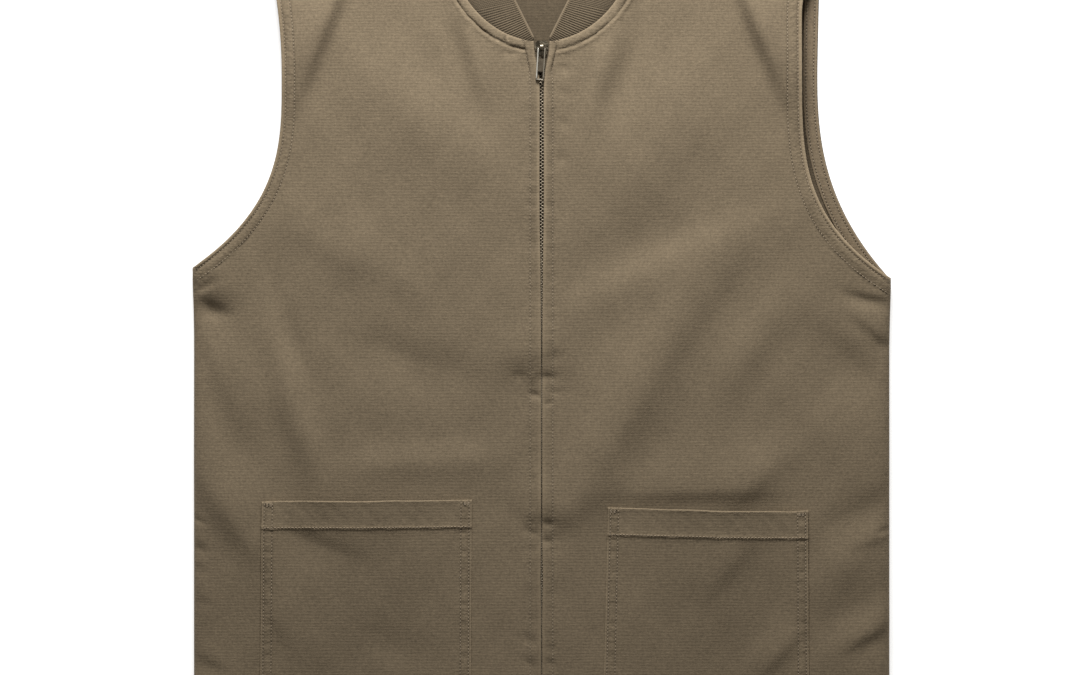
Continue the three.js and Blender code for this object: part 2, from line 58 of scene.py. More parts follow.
# Body outline
SIDE_X = 300.5
HEM_Y = -376.0
NECK_X = 82.0
NECK_Y = 345.0
FRONT_NECK_DROP = 95.0
BACK_NECK_DROP = 17.0
SHOULDER_TIP_Y = 308.0
CORNER_OUT = 1.3
CORNER_REACH = 35.0
Armhole = namedtuple("Armhole", "side waist_x waist_y power corner_y tip_x tip_power worn inner_row")
# The armholes' rolled edges are lightened for wear and a painted highlight, strongest on front_left
ARMHOLES = {
    "front_left": Armhole(1, 224.4, 245, 4.0, 46, 241.0, 6.0, 1.0, 12.6),
    "front_right": Armhole(-1, 224.3, 221, 3.1, 55, 232.7, 2.0, 0.45, 11.2),
    "back_left": Armhole(1, 239.1, 225, 2.6, 46, 241.0, 1.2, 0.0, 10.2),
    "back_right": Armhole(-1, 222.5, 221, 3.1, 55, 232.7, 2.0, 0.0, 10.2),
}

# Height of the fronts over the back
SEAM_Z = CANVAS + GAP + CANVAS / 2
LOFT = 10.5
ZIP_Z = SEAM_Z + LOFT
SIDE_ROLL = 26.0
SIDE_POWER = 4
SHOULDER_ROLL = 34.0
CALM_FROM = 14.0
CALM_TO = 34.0

# Half of the gap between the front edges at the zip, from hem to neck
ZIP_EDGES = dict(
    y=[HEM_Y, -245, -212, -178, 0, 60, 100, 150, 196, 212, 222, 230, 238, 250.3],
    half=[0.4, 0.4, 0.9, 0.4, 0.5, 1.0, 1.7, 1.8, 1.6, 1.7, 2.3, 4.0, 5.9, 7.0],
)
NECK_CORNER_Y = ZIP_EDGES["y"][-1]
NECK_CORNER_X = ZIP_EDGES["half"][-1]

# Topstitch beside the zip, which turns into the crease of the strip beside the slider
ZIP_STITCH = {
    1: dict(y=[HEM_Y, 212, 226, 246, 256], x=[9.6, 9.6, 8.6, 13.0, 13.4]),
    -1: dict(y=[HEM_Y, 212, 224, 246, 256], x=[10.0, 10.0, 10.4, 14.8, 15.2]),
}

# Folds: the way from (x0, y0) to (x1, y1), the widths on the left and right of it, and the height
Fold = namedtuple("Fold", "x0 y0 x1 y1 left right height")
FOLD_TAPER = 0.5
FOLDS = [
    # Shoulder creases
    Fold(-150, 360, -228, 165, 8, 24, 8.0),
    Fold(148, 360, 230, 160, 24, 8, 9.5),
    # Creases below the neck
    Fold(-76, 305, -44, 180, 8, 8, 2.6),
    Fold(-92, 305, -58, 180, 10, 9, -1.6),
    Fold(76, 312, 32, 145, 9, 9, 2.6),
    Fold(96, 312, 54, 145, 10, 10, -1.8),
    # Chest swells
    Fold(-190, 268, -14, 96, 30, 46, 4.6),
    Fold(166, 256, 36, 84, 34, 36, 3.6),
    # Left front, across the chest
    Fold(-10, 26, 185, 120, 26, 19, -2.3),
    Fold(-10, -2, 260, 128, 19, 28, 2.6),
    # Left front, long slope
    Fold(196, 128, 56, -92, 22, 28, 2.5),
    Fold(150, 72, -14, -226, 23, 30, 5.4),
    Fold(222, 52, 130, -98, 14, 24, 2.8),
    # Left armpit
    Fold(266, -14, 322, -16, 9, 30, -2.2),
    Fold(218, 20, 312, -76, 15, 34, -3.8),
    Fold(246, 40, 310, 14, 5, 8, -1.6),
    # Above the left pocket
    Fold(20, -139, 250, -135, 30, 8, 2.4),
    Fold(150, -158, 228, -88, 24, 12, 2.3),
    # Left side, low
    Fold(330, -130, 225, -182, 20, 12, -1.8),
    Fold(330, -146, 205, -246, 16, 18, 1.7),
    Fold(320, -206, 220, -276, 16, 14, -1.4),
    Fold(335, -226, 236, -290, 10, 16, 1.5),
    # Right front, slanting from the armhole
    Fold(-266, 118, -46, 14, 44, 20, 2.2),
    Fold(-222, 8, -4, -62, 18, 32, -2.2),
    Fold(-250, 92, -192, -72, 9, 9, -1.6),
    Fold(-243, 28, -183, -170, 13, 13, 3.6),
    # Right front, level
    Fold(-195, -94, 0, -84, 20, 12, -1.0),
    Fold(-205, -119, 5, -110, 11, 13, 1.4),
    # Right side
    Fold(-324, 12, -248, 12, 19, 60, -6.3),
    Fold(-316, 60, -240, -112, 30, 12, 3.4),
    Fold(-322, -80, -210, -240, 30, 15, 4.2),
    Fold(-262, -190, -180, -300, 26, 11, 2.0),
]

# Small folds and dents that also reach the zip and the sides
SMALL_FOLDS = [
    # Waves of the zip's front edges
    Fold(-64, -13, 44, -19, 28, 20, 2.6),
    Fold(-64, -50, 44, -55, 20, 30, -1.1),
    Fold(-28, -145, 40, -151, 34, 17, 2.5),
    Fold(78, -117, -10, -178, 12, 16, 1.2),
    Fold(-20, -172, 56, -182, 14, 20, -1.0),
    # Beside the zip, on the chest
    Fold(-16, 122, 0, 117, 2.8, 3.6, -0.6),
    Fold(-18, 110, -2, 112, 2.8, 3.6, -0.5),
    Fold(-16, 80, 0, 75, 2.8, 3.6, -0.6),
    Fold(0, 112, 14, 108, 2.8, 3.6, -0.5),
    Fold(8, 152, 28, 146, 3, 4.5, -0.6),
    Fold(10, 184, 30, 176, 3, 5, -0.6),
    Fold(10, 210, 30, 203, 3, 5, -0.6),
    # Beside the zip, at the waist
    Fold(-30, -37, -6, -39, 3.6, 6, -0.7),
    Fold(-10, -38, 20, -41, 3.6, 5.5, -1.0),
    Fold(-16, -52, 2, -56, 2.4, 3.5, -0.8),
    Fold(-10, -50, 4, -62, 2.2, 3, -0.55),
    Fold(0, -66, 12, -58, 2.2, 3, -0.75),
    Fold(-4, -22, 26, -20, 3.4, 5, -0.65),
    Fold(2, -51, 22, -54, 2.6, 3.5, -0.6),
    # Beside the zip, at the pockets
    Fold(-48, -130, 4, -190, 10, 10, -1.0),
    Fold(-20, -167, 0, -178, 3.4, 4, -0.8),
    Fold(-3, -163, 13, -167, 2.4, 3.5, -0.9),
    Fold(-3, -179, 13, -183, 2.4, 3.5, -0.9),
    # Beside the zip, low
    Fold(-22, -260, 0, -272, 3, 4, -0.9),
    Fold(-22, -282, 0, -291, 3, 4, -0.8),
    Fold(0, -270, 17, -277, 3, 4, -0.8),
    Fold(0, -284, 17, -291, 3, 4, -0.8),
    # Below the neck
    Fold(-28, 262, -34, 244, 1.6, 1.8, -0.7),
    Fold(-32, 246, -12, 242, 2, 3, -0.7),
    Fold(-36, 241, -17, 239, 2, 3, -0.6),
    Fold(11, 230, 29, 225, 2.5, 4, -0.9),
    # Armpits
    Fold(-308, 30, -272, 50, 2.6, 4, -1.7),
    Fold(-304, 31, -266, 10, 5, 8, -1.9),
    Fold(254, 33, 326, 21, 2.8, 6, -0.9),
    Fold(256, 20, 306, -22, 4, 9, -1.5),
    # Sides
    Fold(252, -286, 312, -252, 4.5, 10, -1.6),
    Fold(258, -198, 320, -174, 6, 14, -1.3),
    Fold(-312, -156, -286, -168, 2.4, 3, -1.2),
    Fold(-310, -180, -282, -194, 4, 6, -1.2),
    Fold(-310, -202, -284, -208, 4, 7, -0.8),
    Fold(-310, -231, -278, -236, 3, 5, -0.7),
    Fold(-312, -278, -264, -300, 5, 10, -1.4),
    Fold(284, -176, 312, -166, 2.4, 3, -1.0),
]

# Slow unevenness of the cloth
Ripple = namedtuple("Ripple", "length degrees height phase")
RIPPLES = [
    Ripple(71, 52, 0.15, 0.4),
    Ripple(53, 128, 0.14, 2.1),
    Ripple(41, 15, 0.14, 4.0),
    Ripple(31, 41, 0.07, 1.2),
    Ripple(23, 146, 0.05, 5.1),
]

# Unevenness along a seam
Wave = namedtuple("Wave", "height length phase")
WOBBLE = [Wave(0.5, 1.13, 1.3), Wave(0.3, 0.71, 0.4), Wave(0.4, 1.93, 2.2)]

# Stitch rows: their distances from the edges, their ends and their thread
ARM_ROW = 3.5
NECK_ROLL = 7.6
HEM_ROW = 22.0
HEM_ROW_FROM_X = 14.0
ZIP_ROW_TOP_Y = 241.0
POCKET_ROWS = (2.4, 9.4)
STITCH_PITCH = 3.0
THREAD_RISE = 0.05
ZIP_THREAD_RISE = -0.03
STITCH_STEP = 0.8
LONG_ROW_STEP = 1.0
ARM_ROW_ENDS = (2.0, 4.0)
ARM_ROW_CUT = 0.8
ZIP_ROW_FROM_HEM = 3.0
HEM_ROW_TO_SIDE = 2.0

# Relief beside an edge or a stitch row: how far off its middle lies, its width and its height
Relief = namedtuple("Relief", "at width height")
GROOVE_WIDTH = 0.85
ARM_ROLL = Relief(1.5, 1.3, 0.55)
ARM_BETWEEN = Relief(7.2, 2.6, 0.3)
ARM_PUCKER = Relief(7.0, 5.0, 0.10)
ARM_CREASED = Relief(6.5, 6.0, 1.0)
ARM_PUCKER_SLANT = 0.7
ARM_GROOVE_DEPTH = 0.5
ARM_FADE = (34.0, 12.0)
ARM_WEAR_AND_HIGHLIGHT = dict(at=0.7, y=(90.0, 200.0), width=(2.7, 1.5))
NECK_GROOVES = {
    1: dict(depth=0.35, width=1.6, uneven=0.9, shade=0.5, ridge=0.5),
    -1: dict(depth=0.75, width=1.1, uneven=0.5, shade=0.85, ridge=0.3),
}
NECK_RIDGE = Relief(2.8, 1.6, 1.0)
NECK_PUCKER = Relief(4.0, 5.0, 0.2)
NECK_WEAR_AND_HIGHLIGHT = Relief(0.0, 1.4, 0.3)
NECK_CREASED = Relief(NECK_ROLL, 6.0, 1.0)
NECK_ROLL_HEIGHT = 0.7
NECK_RIDGE_WEAR_AND_HIGHLIGHT = 0.15
NECK_WANDER = 0.35
NECK_WAVES = dict(patches=0.3, wander=0.6, pucker=0.45)
NECK_PATCHES = (0.15, 1.5)
NECK_BESIDE_ZIP = (-1.2, 1.2)
HEM_GROOVE = Relief(0.0, 0.9, 1.0)
HEM_ROLL = Relief(-2.2, 1.6, 0.3)
HEM_CREASED = Relief(0.0, 6.0, 0.7)
HEM_GROOVE_DEPTH = 0.35
BACK_GROOVE = Relief(ARM_ROW, 0.9, 0.4)
BACK_RUBBED = Relief(0.0, 1.4, 0.5)
BACK_ARMHOLE_Y = (20, 40)
BACK_UNEVEN = dict(amount=0.12, mean=0.3)
FACING_BETWEEN = Relief(6.5, 2.0, 0.15)
FACING_RUBBED = Relief(0.0, 1.5, 0.8)
FACING_GROOVE_DEPTH = 0.25
FACING_GROOVE_SHADE = 0.7
FACING_UNEVEN = dict(height=0.05, wave=0.8)

# Strip beside the zip: pairs of values, low down and in the crease beside the slider
ZIP_CREASE_Y = (216, 228)
ZIP_GROOVE_WIDTH = (0.8, 1.0)
ZIP_GROOVE_SHADE = (0.75, 1.0)
ZIP_GROOVE_DEPTH = (0.4, 1.15)
ZIP_STRIP_HEIGHT = (0.35, 0.7)

# The same strip: pairs of values, low down and on the chest; the valley gets painted shade and the edge is
# lightened for wear and a painted highlight
ZIP_CHEST_Y = (20, 90)
ZIP_VALLEY_SHADE = (0.15, 0.36)
ZIP_EDGE_WEAR_AND_HIGHLIGHT = (0.28, 0.55)

# The same strip: its relief, where its painted valley shade and its lightened edge lie, how uneven it is,
# and where it ends below the neck
ZIP_PUCKER = Relief(-1.5, 6.0, 0.14)
ZIP_CREASED = Relief(0.0, 5.0, 0.7)
ZIP_VALLEY = Relief(7.9, 2.6, 1.0)
ZIP_WORN_HIGHLIT_EDGE = Relief(1.2, 1.3, 1.0)
ZIP_WAVES = dict(slow=0.36, quick=0.6, shift=40)
ZIP_PATCHY = 0.6
ZIP_PATCHES = (0.2, 2.0)
ZIP_FROM_NECK = (1.0, 7.0)

# Grids of the sheets: finest at the edges, and even between them
RIM_STEPS = np.array([0.0, 0.1, 0.3, 0.6])
EDGE_PITCH = 0.62
FRONT_REACH = 16.0
FRONT_COLUMNS = 78
BACK_REACH = 14.0
BACK_COLUMNS = 90
POCKET_REACH = 13.0
POCKET_COLUMNS = 68
POCKET_ROW_RUNS = [(1.2, 4.0, 0.6), (4.5, 21.3, 1.8), (21.5, 29.5, 0.4)]
POCKET_LOW_ROWS = dict(start=30.0, end_gap=0.5, pitch=2.2)

# Rows of the fronts, closer where they are crumpled, beside the armholes and at the neck
HEM_STEP = 2.4
ROW_PITCH = 3.5
CRUMPLED_PITCH = 1.9
CRUMPLED = [(-190.0, -158.0), (-66.0, 36.0)]
ARM_PITCH = 2.4
NECK_FROM_Y = 231.0
NECK_PITCH = 0.65
LEAST_ROW = 1.0
NECK_FIRST_ROW = 0.5

# Rows of the back
BACK_ROWS = dict(from_hem=4, to_corner=2, low_pitch=5.0, to_tip=9.0, high_pitch=2.0)

# Rows below the shoulder seam: how many, the share of the way that they reach, and the last shares
FRONT_SHOULDER_ROWS = (84, 0.985, 0.992, 0.997)
BACK_SHOULDER_ROWS = (14, 0.97, 0.985, 0.995)

# Rib collar
COLLAR_TIP = (6.5, 254.5)
COLLAR_CORNER = (62.0, 366.0)
COLLAR_TOP_Y = 376.0
COLLAR_LEAD = 1.35
COLLAR_BACK_Z = RIB / 2 + 0.1
COLLAR_TURN_SEAM = 1.8
COLLAR_TURN_FREE = 2.2
COLLAR_FREE_SINK = 3.0
COLLAR_SEAM_SINK = 2.3
COLLAR_OVERLAP = 1.6
COLLAR_COUNTS = dict(front=430, turn=26, back=150)
COLLAR_CLEAR = (-2.0, 0.6)
COLLAR_CLEAR_AT = (0.55, 0.85)
COLLAR_FREE_RIM = [0.0, 0.004, 0.012, 0.024, 0.04, 0.06, 0.085]
COLLAR_EVEN = (0.12, 0.97, 18)
COLLAR_SEAM_RIM = [0.985, 0.994, 1.0]
COLLAR_WEAR_AND_HIGHLIGHT = (1.4, 2.6)
# Tone of the unribbed free rim in the rib shading, lighter than the hollows: partly painted highlight
COLLAR_RIM_TONE = 0.8
COLLAR_SEAM_SHADE = Relief(0.0, 5.5, 1.0)
COLLAR_TIP_WIDTHS = (6.0, 22.0)
COLLAR_TIP_SHADE = 0.6
COLLAR_RIM = Relief(1.0, 1.0, 0.3)
RIB_PITCH = 1.75
RIB_HEIGHT = 0.4
RIBS_START = (1.5, 2.4)
RIB_ROUNDS = 30
RIB_DAMPING = 0.6
RIB_SLOPES = dict(along=[0, 35, 124.5], degrees=[-33, -13, -47.9])

# Patch pockets
Pocket = namedtuple("Pocket", "side mouth_in mouth_out foot_in foot_out corner_rise")
POCKETS = {
    "left": Pocket(1, (57.2, -151.8), (229.9, -155.8), 52.5, 231.0, 1.3),
    "right": Pocket(-1, (60.2, -145.2), (241.5, -146.2), 61.3, 243.6, -0.5),
}
MOUTH_WAVE = 0.4
MOUTH_FADE = 6
MOUTH_CORNER = (0.9, 1.0)
POCKET_FOOT_Y = -348.0
POCKET_BULGE = 10.0
POCKET_FADE = 1.5
POCKET_GAP = 0.6
POCKET_SEAM_GAP = 0.15
POCKET_REST = 4.0
POCKET_FREE = (1.0, 15.0)
POCKET_WAVES = dict(mouth=0.11, side=0.8, band=0.5, band_edge=0.35)
POCKET_RIPPLE = dict(amount=0.8, stretch=1.1, shift=40)
POCKET_DENT = 0.6
BAND_HEIGHT = 25.0
BAND_EXTRA = 0.35
POCKET_ROLLS = [Relief(5.8, 2.2, 0.3), Relief(1.0, 1.0, 0.25)]
POCKET_FOOT_ROLL = Relief(1.0, 1.0, 0.25)
POCKET_SIDE_PUCKER = Relief(6.0, 4.0, 0.288)
POCKET_BAND_PUCKER = Relief(12.0, 12.0, 0.144)
POCKET_GROOVE_DEPTH = 0.35
BAND_ROW = 1.9
BAND_LIP = Relief(-1.6, 1.6, 0.2)
BAND_SHADOW = Relief(0.9, 1.1, 0.12)
BAND_EDGE_UNEVEN = 0.5
BAND_STEP = (-0.9, 0.5)
TACK_REACH = (7.0, 11.0)
TACK_POINTS = 12
POCKET_ROW_START = 1.5
BAND_ROW_ENDS = 1.0
TACK_ROWS = (2.2, 3.2, 4.2)
# Painted shade at the bar tacks, by the mouth and by the band's row
MOUTH_TACK_SHADE = Relief(2.8, 1.0, 0.7)
BAND_TACK_SHADE = Relief(-BAND_ROW, 0.9, 0.42)
MOUTH_WEAR_AND_HIGHLIGHT = Relief(0.0, 1.6, 0.32)
POCKET_SIDE_WEAR_AND_HIGHLIGHT = Relief(0.0, 1.1, 0.6)
BAND_WEAR_AND_HIGHLIGHT = Relief(-1.0, 1.3, 0.4)
POCKET_CREASED = Relief(6.0, 5.0, 1.0)
BAND_CREASED = Relief(-1.5, 4.0, 1.0)
MOUTH_CREASED = Relief(0.0, 3.0, 1.0)
POCKET_FOLDS = [
    Fold(196, -158, 128, -240, 11, 18, 1.8),
    Fold(232, -244, 172, -312, 8, 16, 2.0),
    Fold(-240, -166, -140, -206, 9, 24, -2.0),
    Fold(-165, -250, -80, -296, 16, 16, -1.4),
]

# Zip
TEETH_TOP = ZIP_Z - CANVAS / 2 - 0.35
TEETH_HEIGHT = 2.4
TEETH_Z = TEETH_TOP - TEETH_HEIGHT / 2
TEETH_FROM_Y = -365.0
TEETH_TO_Y = 246.0
TOOTH_PITCH = 3.0
TOOTH_HALF = (1.5, 0.62, 1.1)
TOOTH_X = 0.95
TOOTH_ENDS = (1.0, 5.0)
TOOTH_BLUNT = 0.45
TOOTH_SIDES = 12
TOOTH_RINGS = 5
TAPE_X = (2.7, 13.9)
TAPE_RIM = RIM_STEPS * 0.6
TAPE_COLUMNS = (3.3, 13.3, 12)
TAPE_ROWS = dict(first=4, last=2, pitch=6.0)
TAPE_BEAD = Relief(3.3, 0.6, 0.35)
BRIDGE_Y = 245.2
PULL_AXIS_Z = 14.75
PULL_DROOP = math.radians(1.0)
PULL_LEAN = math.radians(-3.4)
RAIL_X = 2.93
RAIL_Y = (-0.6, -27.9)
RAIL_LIFT = 0.62
RAIL_RADIUS = 0.6
RAIL_POINTS = 24


# Small functions
def mix(a, b, t):
    return a + (b - a) * t


def clamped(value):
    return np.clip(value, 0.0, 1.0)


def joined(*axes):
    """Points from their coordinates, each of which may be one number for all."""
    return np.stack(np.broadcast_arrays(*axes), axis=-1)


def smoothstep(low, high, value):
    t = clamped((value - low) / (high - low))
    return t * t * (3.0 - 2.0 * t)


def hump(distance, half_width):
    return np.exp(-((distance / half_width) ** 2))


def relief(distance, row):
    return row.height * hump(distance - row.at, row.width)


def arched(t):
    return np.sqrt(np.sin(clamped(t) * math.pi) + TINY)


def quarter_round(t):
    short = 1.0 - clamped(t)
    return np.sqrt(1.0 - short * short)


def side_profile(distance):
    short = 1.0 - clamped(distance / SIDE_ROLL)
    return (1.0 - short**SIDE_POWER) ** (1.0 / SIDE_POWER)


def line_distance(x, y, start, end):
    run = np.subtract(end, start)
    t = clamped(((x - start[0]) * run[0] + (y - start[1]) * run[1]) / (run @ run))
    return np.hypot(x - start[0] - run[0] * t, y - start[1] - run[1] * t)


def fold_sum(folds, x, y):
    height = np.zeros_like(x)
    for fold in folds:
        run_x = fold.x1 - fold.x0
        run_y = fold.y1 - fold.y0
        length = math.hypot(run_x, run_y)
        along = ((x - fold.x0) * run_x + (y - fold.y0) * run_y) / length**2
        aside = (run_x * (y - fold.y0) - run_y * (x - fold.x0)) / length
        fade = smoothstep(0.0, FOLD_TAPER, along) * smoothstep(0.0, FOLD_TAPER, 1.0 - along)
        height += fold.height * fade * hump(aside, np.where(aside > 0, fold.left, fold.right))
    return height


def wobble(s):
    return sum(wave.height * np.sin(s / wave.length + wave.phase) for wave in WOBBLE)


def ripple(x, y):
    height = np.zeros_like(x)
    for row in RIPPLES:
        angle = math.radians(row.degrees)
        along = x * math.cos(angle) + y * math.sin(angle)
        height += row.height * np.sin(2 * math.pi * along / row.length + row.phase)
    return height


# Outline curves
def armhole_x(row, y):
    below = np.maximum(0.0, (row.waist_y - y) / (row.waist_y - row.corner_y))
    above = np.maximum(0.0, (y - row.waist_y) / (SHOULDER_TIP_Y - row.waist_y))
    flare = (SIDE_X + CORNER_OUT - row.waist_x) * below**row.power
    return row.waist_x + flare + (row.tip_x - row.waist_x) * above**row.tip_power


def side_x(row, y):
    below = np.maximum(0.0, row.corner_y - y)
    return SIDE_X + CORNER_OUT * hump(below, CORNER_REACH)


def armhole_slope(row, y):
    return armhole_x(row, y + 0.5) - armhole_x(row, y - 0.5)


def armhole_distance(row, x, y):
    return (armhole_x(row, y) - np.abs(x)) / np.hypot(1.0, armhole_slope(row, y))


def armhole_inset(row, y, inset):
    slope = armhole_slope(row, y)
    length = np.hypot(1.0, slope)
    return armhole_x(row, y) - inset / length, y + inset * slope / length


def zip_edge_x(y):
    return np.interp(y, ZIP_EDGES["y"], ZIP_EDGES["half"])


def zip_stitch_x(side, y):
    return np.interp(y, ZIP_STITCH[side]["y"], ZIP_STITCH[side]["x"])


def neck_point(angle, drop, clear):
    return (NECK_X - clear) * np.sin(angle), NECK_Y - (drop - clear) * np.cos(angle)


def neck_distance(x, y):
    u = x / NECK_X
    v = (y - NECK_Y) / FRONT_NECK_DROP
    radius = np.hypot(u, v)
    steepness = np.hypot(u / NECK_X, v / FRONT_NECK_DROP) / radius
    return (radius - 1.0) / steepness


# Fronts: height of the middle of the cloth, with its folds
def side_distance(row, x, y):
    inward = np.maximum(0.0, side_x(row, y) - np.abs(x))
    return np.hypot(inward, np.maximum(0.0, y - row.corner_y))


def front_height(row, x, y):
    to_seam = line_distance(np.abs(x), y, (NECK_X, NECK_Y), (row.tip_x, SHOULDER_TIP_Y))
    opening = side_profile(side_distance(row, x, y)) * quarter_round(to_seam / SHOULDER_ROLL)
    folds = fold_sum(FOLDS, x, y) * smoothstep(CALM_FROM, CALM_TO, np.abs(x))
    return SEAM_Z + (LOFT + folds) * opening


def stitch_grooves(distance, rows):
    return sum(hump(distance - at, GROOVE_WIDTH) for at in rows)


# Sewn relief: each function gives the lift, the groove with its painted shade, the edge lightened for wear
# and a painted highlight, and the puckered seam
def armhole_relief(row, x, y):
    d = armhole_distance(row, x, y)
    near = smoothstep(row.corner_y - ARM_FADE[0], row.corner_y - ARM_FADE[1], y)
    groove = stitch_grooves(d, (ARM_ROW, row.inner_row))
    pucker = wobble(y - ARM_PUCKER_SLANT * np.abs(x)) * relief(d, ARM_PUCKER)
    lift = relief(d, ARM_ROLL) + relief(d, ARM_BETWEEN) - ARM_GROOVE_DEPTH * groove + pucker
    # The rolled edge is lightened for wear and a painted highlight, wider low down
    highlight_width = mix(*ARM_WEAR_AND_HIGHLIGHT["width"], smoothstep(*ARM_WEAR_AND_HIGHLIGHT["y"], y))
    wear = row.worn * hump(d - ARM_WEAR_AND_HIGHLIGHT["at"], highlight_width)
    return [values * near for values in (lift, groove, wear, relief(d, ARM_CREASED))]


def neck_relief(row, x, y):
    d = neck_distance(x, y)
    sewn = NECK_GROOVES[row.side]
    beside = smoothstep(*NECK_BESIDE_ZIP, np.abs(x) - zip_stitch_x(row.side, y))
    along = np.arctan2(x, NECK_Y - y) * NECK_X
    patchy = np.clip(1.0 + sewn["uneven"] * wobble(along * NECK_WAVES["patches"]), *NECK_PATCHES)
    line = d - NECK_ROLL - NECK_WANDER * wobble(along * NECK_WAVES["wander"])
    groove = hump(line, sewn["width"]) * patchy
    ridge = relief(line, NECK_RIDGE)
    pucker = wobble(along * NECK_WAVES["pucker"]) * relief(line, NECK_PUCKER)
    roll = NECK_ROLL_HEIGHT * arched(d / NECK_ROLL)
    lift = roll - sewn["depth"] * groove + sewn["ridge"] * ridge + pucker
    # The roll and the ridge below the groove are lightened for wear and a painted highlight
    wear = relief(d, NECK_WEAR_AND_HIGHLIGHT) + NECK_RIDGE_WEAR_AND_HIGHLIGHT * ridge
    seam = (lift, sewn["shade"] * groove, wear, relief(d, NECK_CREASED))
    return [values * beside for values in seam]


def zip_relief(row, x, y):
    from_edge = np.abs(x) - zip_edge_x(y)
    from_stitch = np.abs(x) - zip_stitch_x(row.side, y)
    below_neck = smoothstep(*ZIP_FROM_NECK, neck_distance(x, y))
    crease = smoothstep(*ZIP_CREASE_Y, y)
    chest = smoothstep(*ZIP_CHEST_Y, y) * (1.0 - crease)
    groove = hump(from_stitch, mix(*ZIP_GROOVE_WIDTH, crease)) * mix(*ZIP_GROOVE_SHADE, crease) * below_neck
    raised = arched(from_edge / (from_edge - from_stitch))
    shift = ZIP_WAVES["shift"] * row.side
    uneven = wobble(y * ZIP_WAVES["slow"]) + wobble(y * ZIP_WAVES["quick"] + shift)
    lift = mix(*ZIP_STRIP_HEIGHT, crease) * raised - mix(*ZIP_GROOVE_DEPTH, crease) * groove
    lift += uneven * relief(from_stitch, ZIP_PUCKER)
    patchy = np.clip(1.0 - ZIP_PATCHY * uneven, *ZIP_PATCHES)
    # Painted shade in the strip's valley, and its edge lightened for wear and a painted highlight
    valley_shade = mix(*ZIP_VALLEY_SHADE, chest) * patchy * relief(np.abs(x), ZIP_VALLEY) * below_neck
    wear = mix(*ZIP_EDGE_WEAR_AND_HIGHLIGHT, chest) * relief(from_edge, ZIP_WORN_HIGHLIT_EDGE)
    return lift, groove + valley_shade, wear, relief(from_stitch, ZIP_CREASED)


def hem_relief(y):
    d = y - HEM_Y - HEM_ROW
    groove = relief(d, HEM_GROOVE)
    lift = relief(d, HEM_ROLL) - HEM_GROOVE_DEPTH * groove
    return lift, groove, np.zeros_like(d), relief(d, HEM_CREASED)


def unit_masks(**masks):
    return {key: clamped(mask) for key, mask in masks.items()}


def front_surface(row, x, y):
    """Height of the middle of the cloth, and the masks of its grooves with painted shade, its edges
    lightened for wear and a painted highlight, and its puckered seams.
    """
    seams = [armhole_relief(row, x, y), neck_relief(row, x, y), zip_relief(row, x, y), hem_relief(y)]
    lift, groove, wear, pucker = (sum(values) for values in zip(*seams))
    loose = (ripple(x, y) + fold_sum(SMALL_FOLDS, x, y)) * side_profile(side_distance(row, x, y))
    z = front_height(row, x, y) + lift + loose
    return z, unit_masks(groove=groove, wear=wear, pucker=pucker)


# Grids of the fronts
def edge_distances(reach):
    return np.concatenate([RIM_STEPS, np.arange(RIM_STEPS[-1] + EDGE_PITCH, reach, EDGE_PITCH), [reach]])


def edge_columns(width, edge, reach, inner):
    """Distances from the first edge: close beside both edges and even between them."""
    even = np.linspace(0.0, 1.0, inner + 2)[1:-1]
    middle = reach + (width - 2 * reach) * even
    return np.concatenate([edge + 0 * width, middle, (width - edge)[:, ::-1]], axis=1)


def shares_to_rim(count, last, *rim):
    return np.concatenate([np.linspace(0.0, last, count)[1:], rim, [1.0]])


def front_rows_y(row):
    hem = HEM_Y + RIM_STEPS
    (low, low_end), (high, high_end) = CRUMPLED
    parts = [
        hem,
        np.arange(hem[-1] + HEM_STEP, low, ROW_PITCH),
        np.arange(low, low_end, CRUMPLED_PITCH),
        np.arange(low_end, high, ROW_PITCH),
        np.arange(high, high_end, CRUMPLED_PITCH),
        np.arange(high_end, row.corner_y - LEAST_ROW, ROW_PITCH),
        np.arange(row.corner_y, NECK_FROM_Y, ARM_PITCH),
        np.arange(NECK_FROM_Y + NECK_FIRST_ROW, NECK_CORNER_Y, NECK_PITCH),
        [NECK_CORNER_Y],
    ]
    return np.concatenate(parts)


def front_row_ends(row):
    """Ends of the grid's rows: from the zip and the neck, to the side and the armhole."""
    y = front_rows_y(row)
    outer_x = np.where(y < row.corner_y, side_x(row, y), armhole_x(row, y))
    t = shares_to_rim(*FRONT_SHOULDER_ROWS)
    angle = mix(math.asin(NECK_CORNER_X / NECK_X), math.pi / 2, t)
    high_y = mix(NECK_CORNER_Y, SHOULDER_TIP_Y, t)
    inner = np.concatenate([joined(zip_edge_x(y), y), joined(*neck_point(angle, FRONT_NECK_DROP, 0.0))])
    outer = np.concatenate([joined(outer_x, y), joined(armhole_x(row, high_y), high_y)])
    return inner, outer


def front_grid(row):
    inner, outer = front_row_ends(row)
    width = np.linalg.norm(outer - inner, axis=1)[:, None]
    along = edge_columns(width, edge_distances(FRONT_REACH), FRONT_REACH, FRONT_COLUMNS) / width
    x = row.side * mix(inner[:, :1], outer[:, :1], along)
    y = mix(inner[:, 1:], outer[:, 1:], along)
    if row.side < 0:
        x = x[:, ::-1]
        y = y[:, ::-1]
    z, masks = front_surface(row, x, y)
    return joined(x, y, z), masks


# Meshes
TUBE_SIDES = 10
TUBE_END_STEPS = 2.0
TUBE_END_SQUARE = 0.96


def link_object(name, data):
    thing = bpy.data.objects.new(name, data)
    bpy.context.collection.objects.link(thing)
    return thing


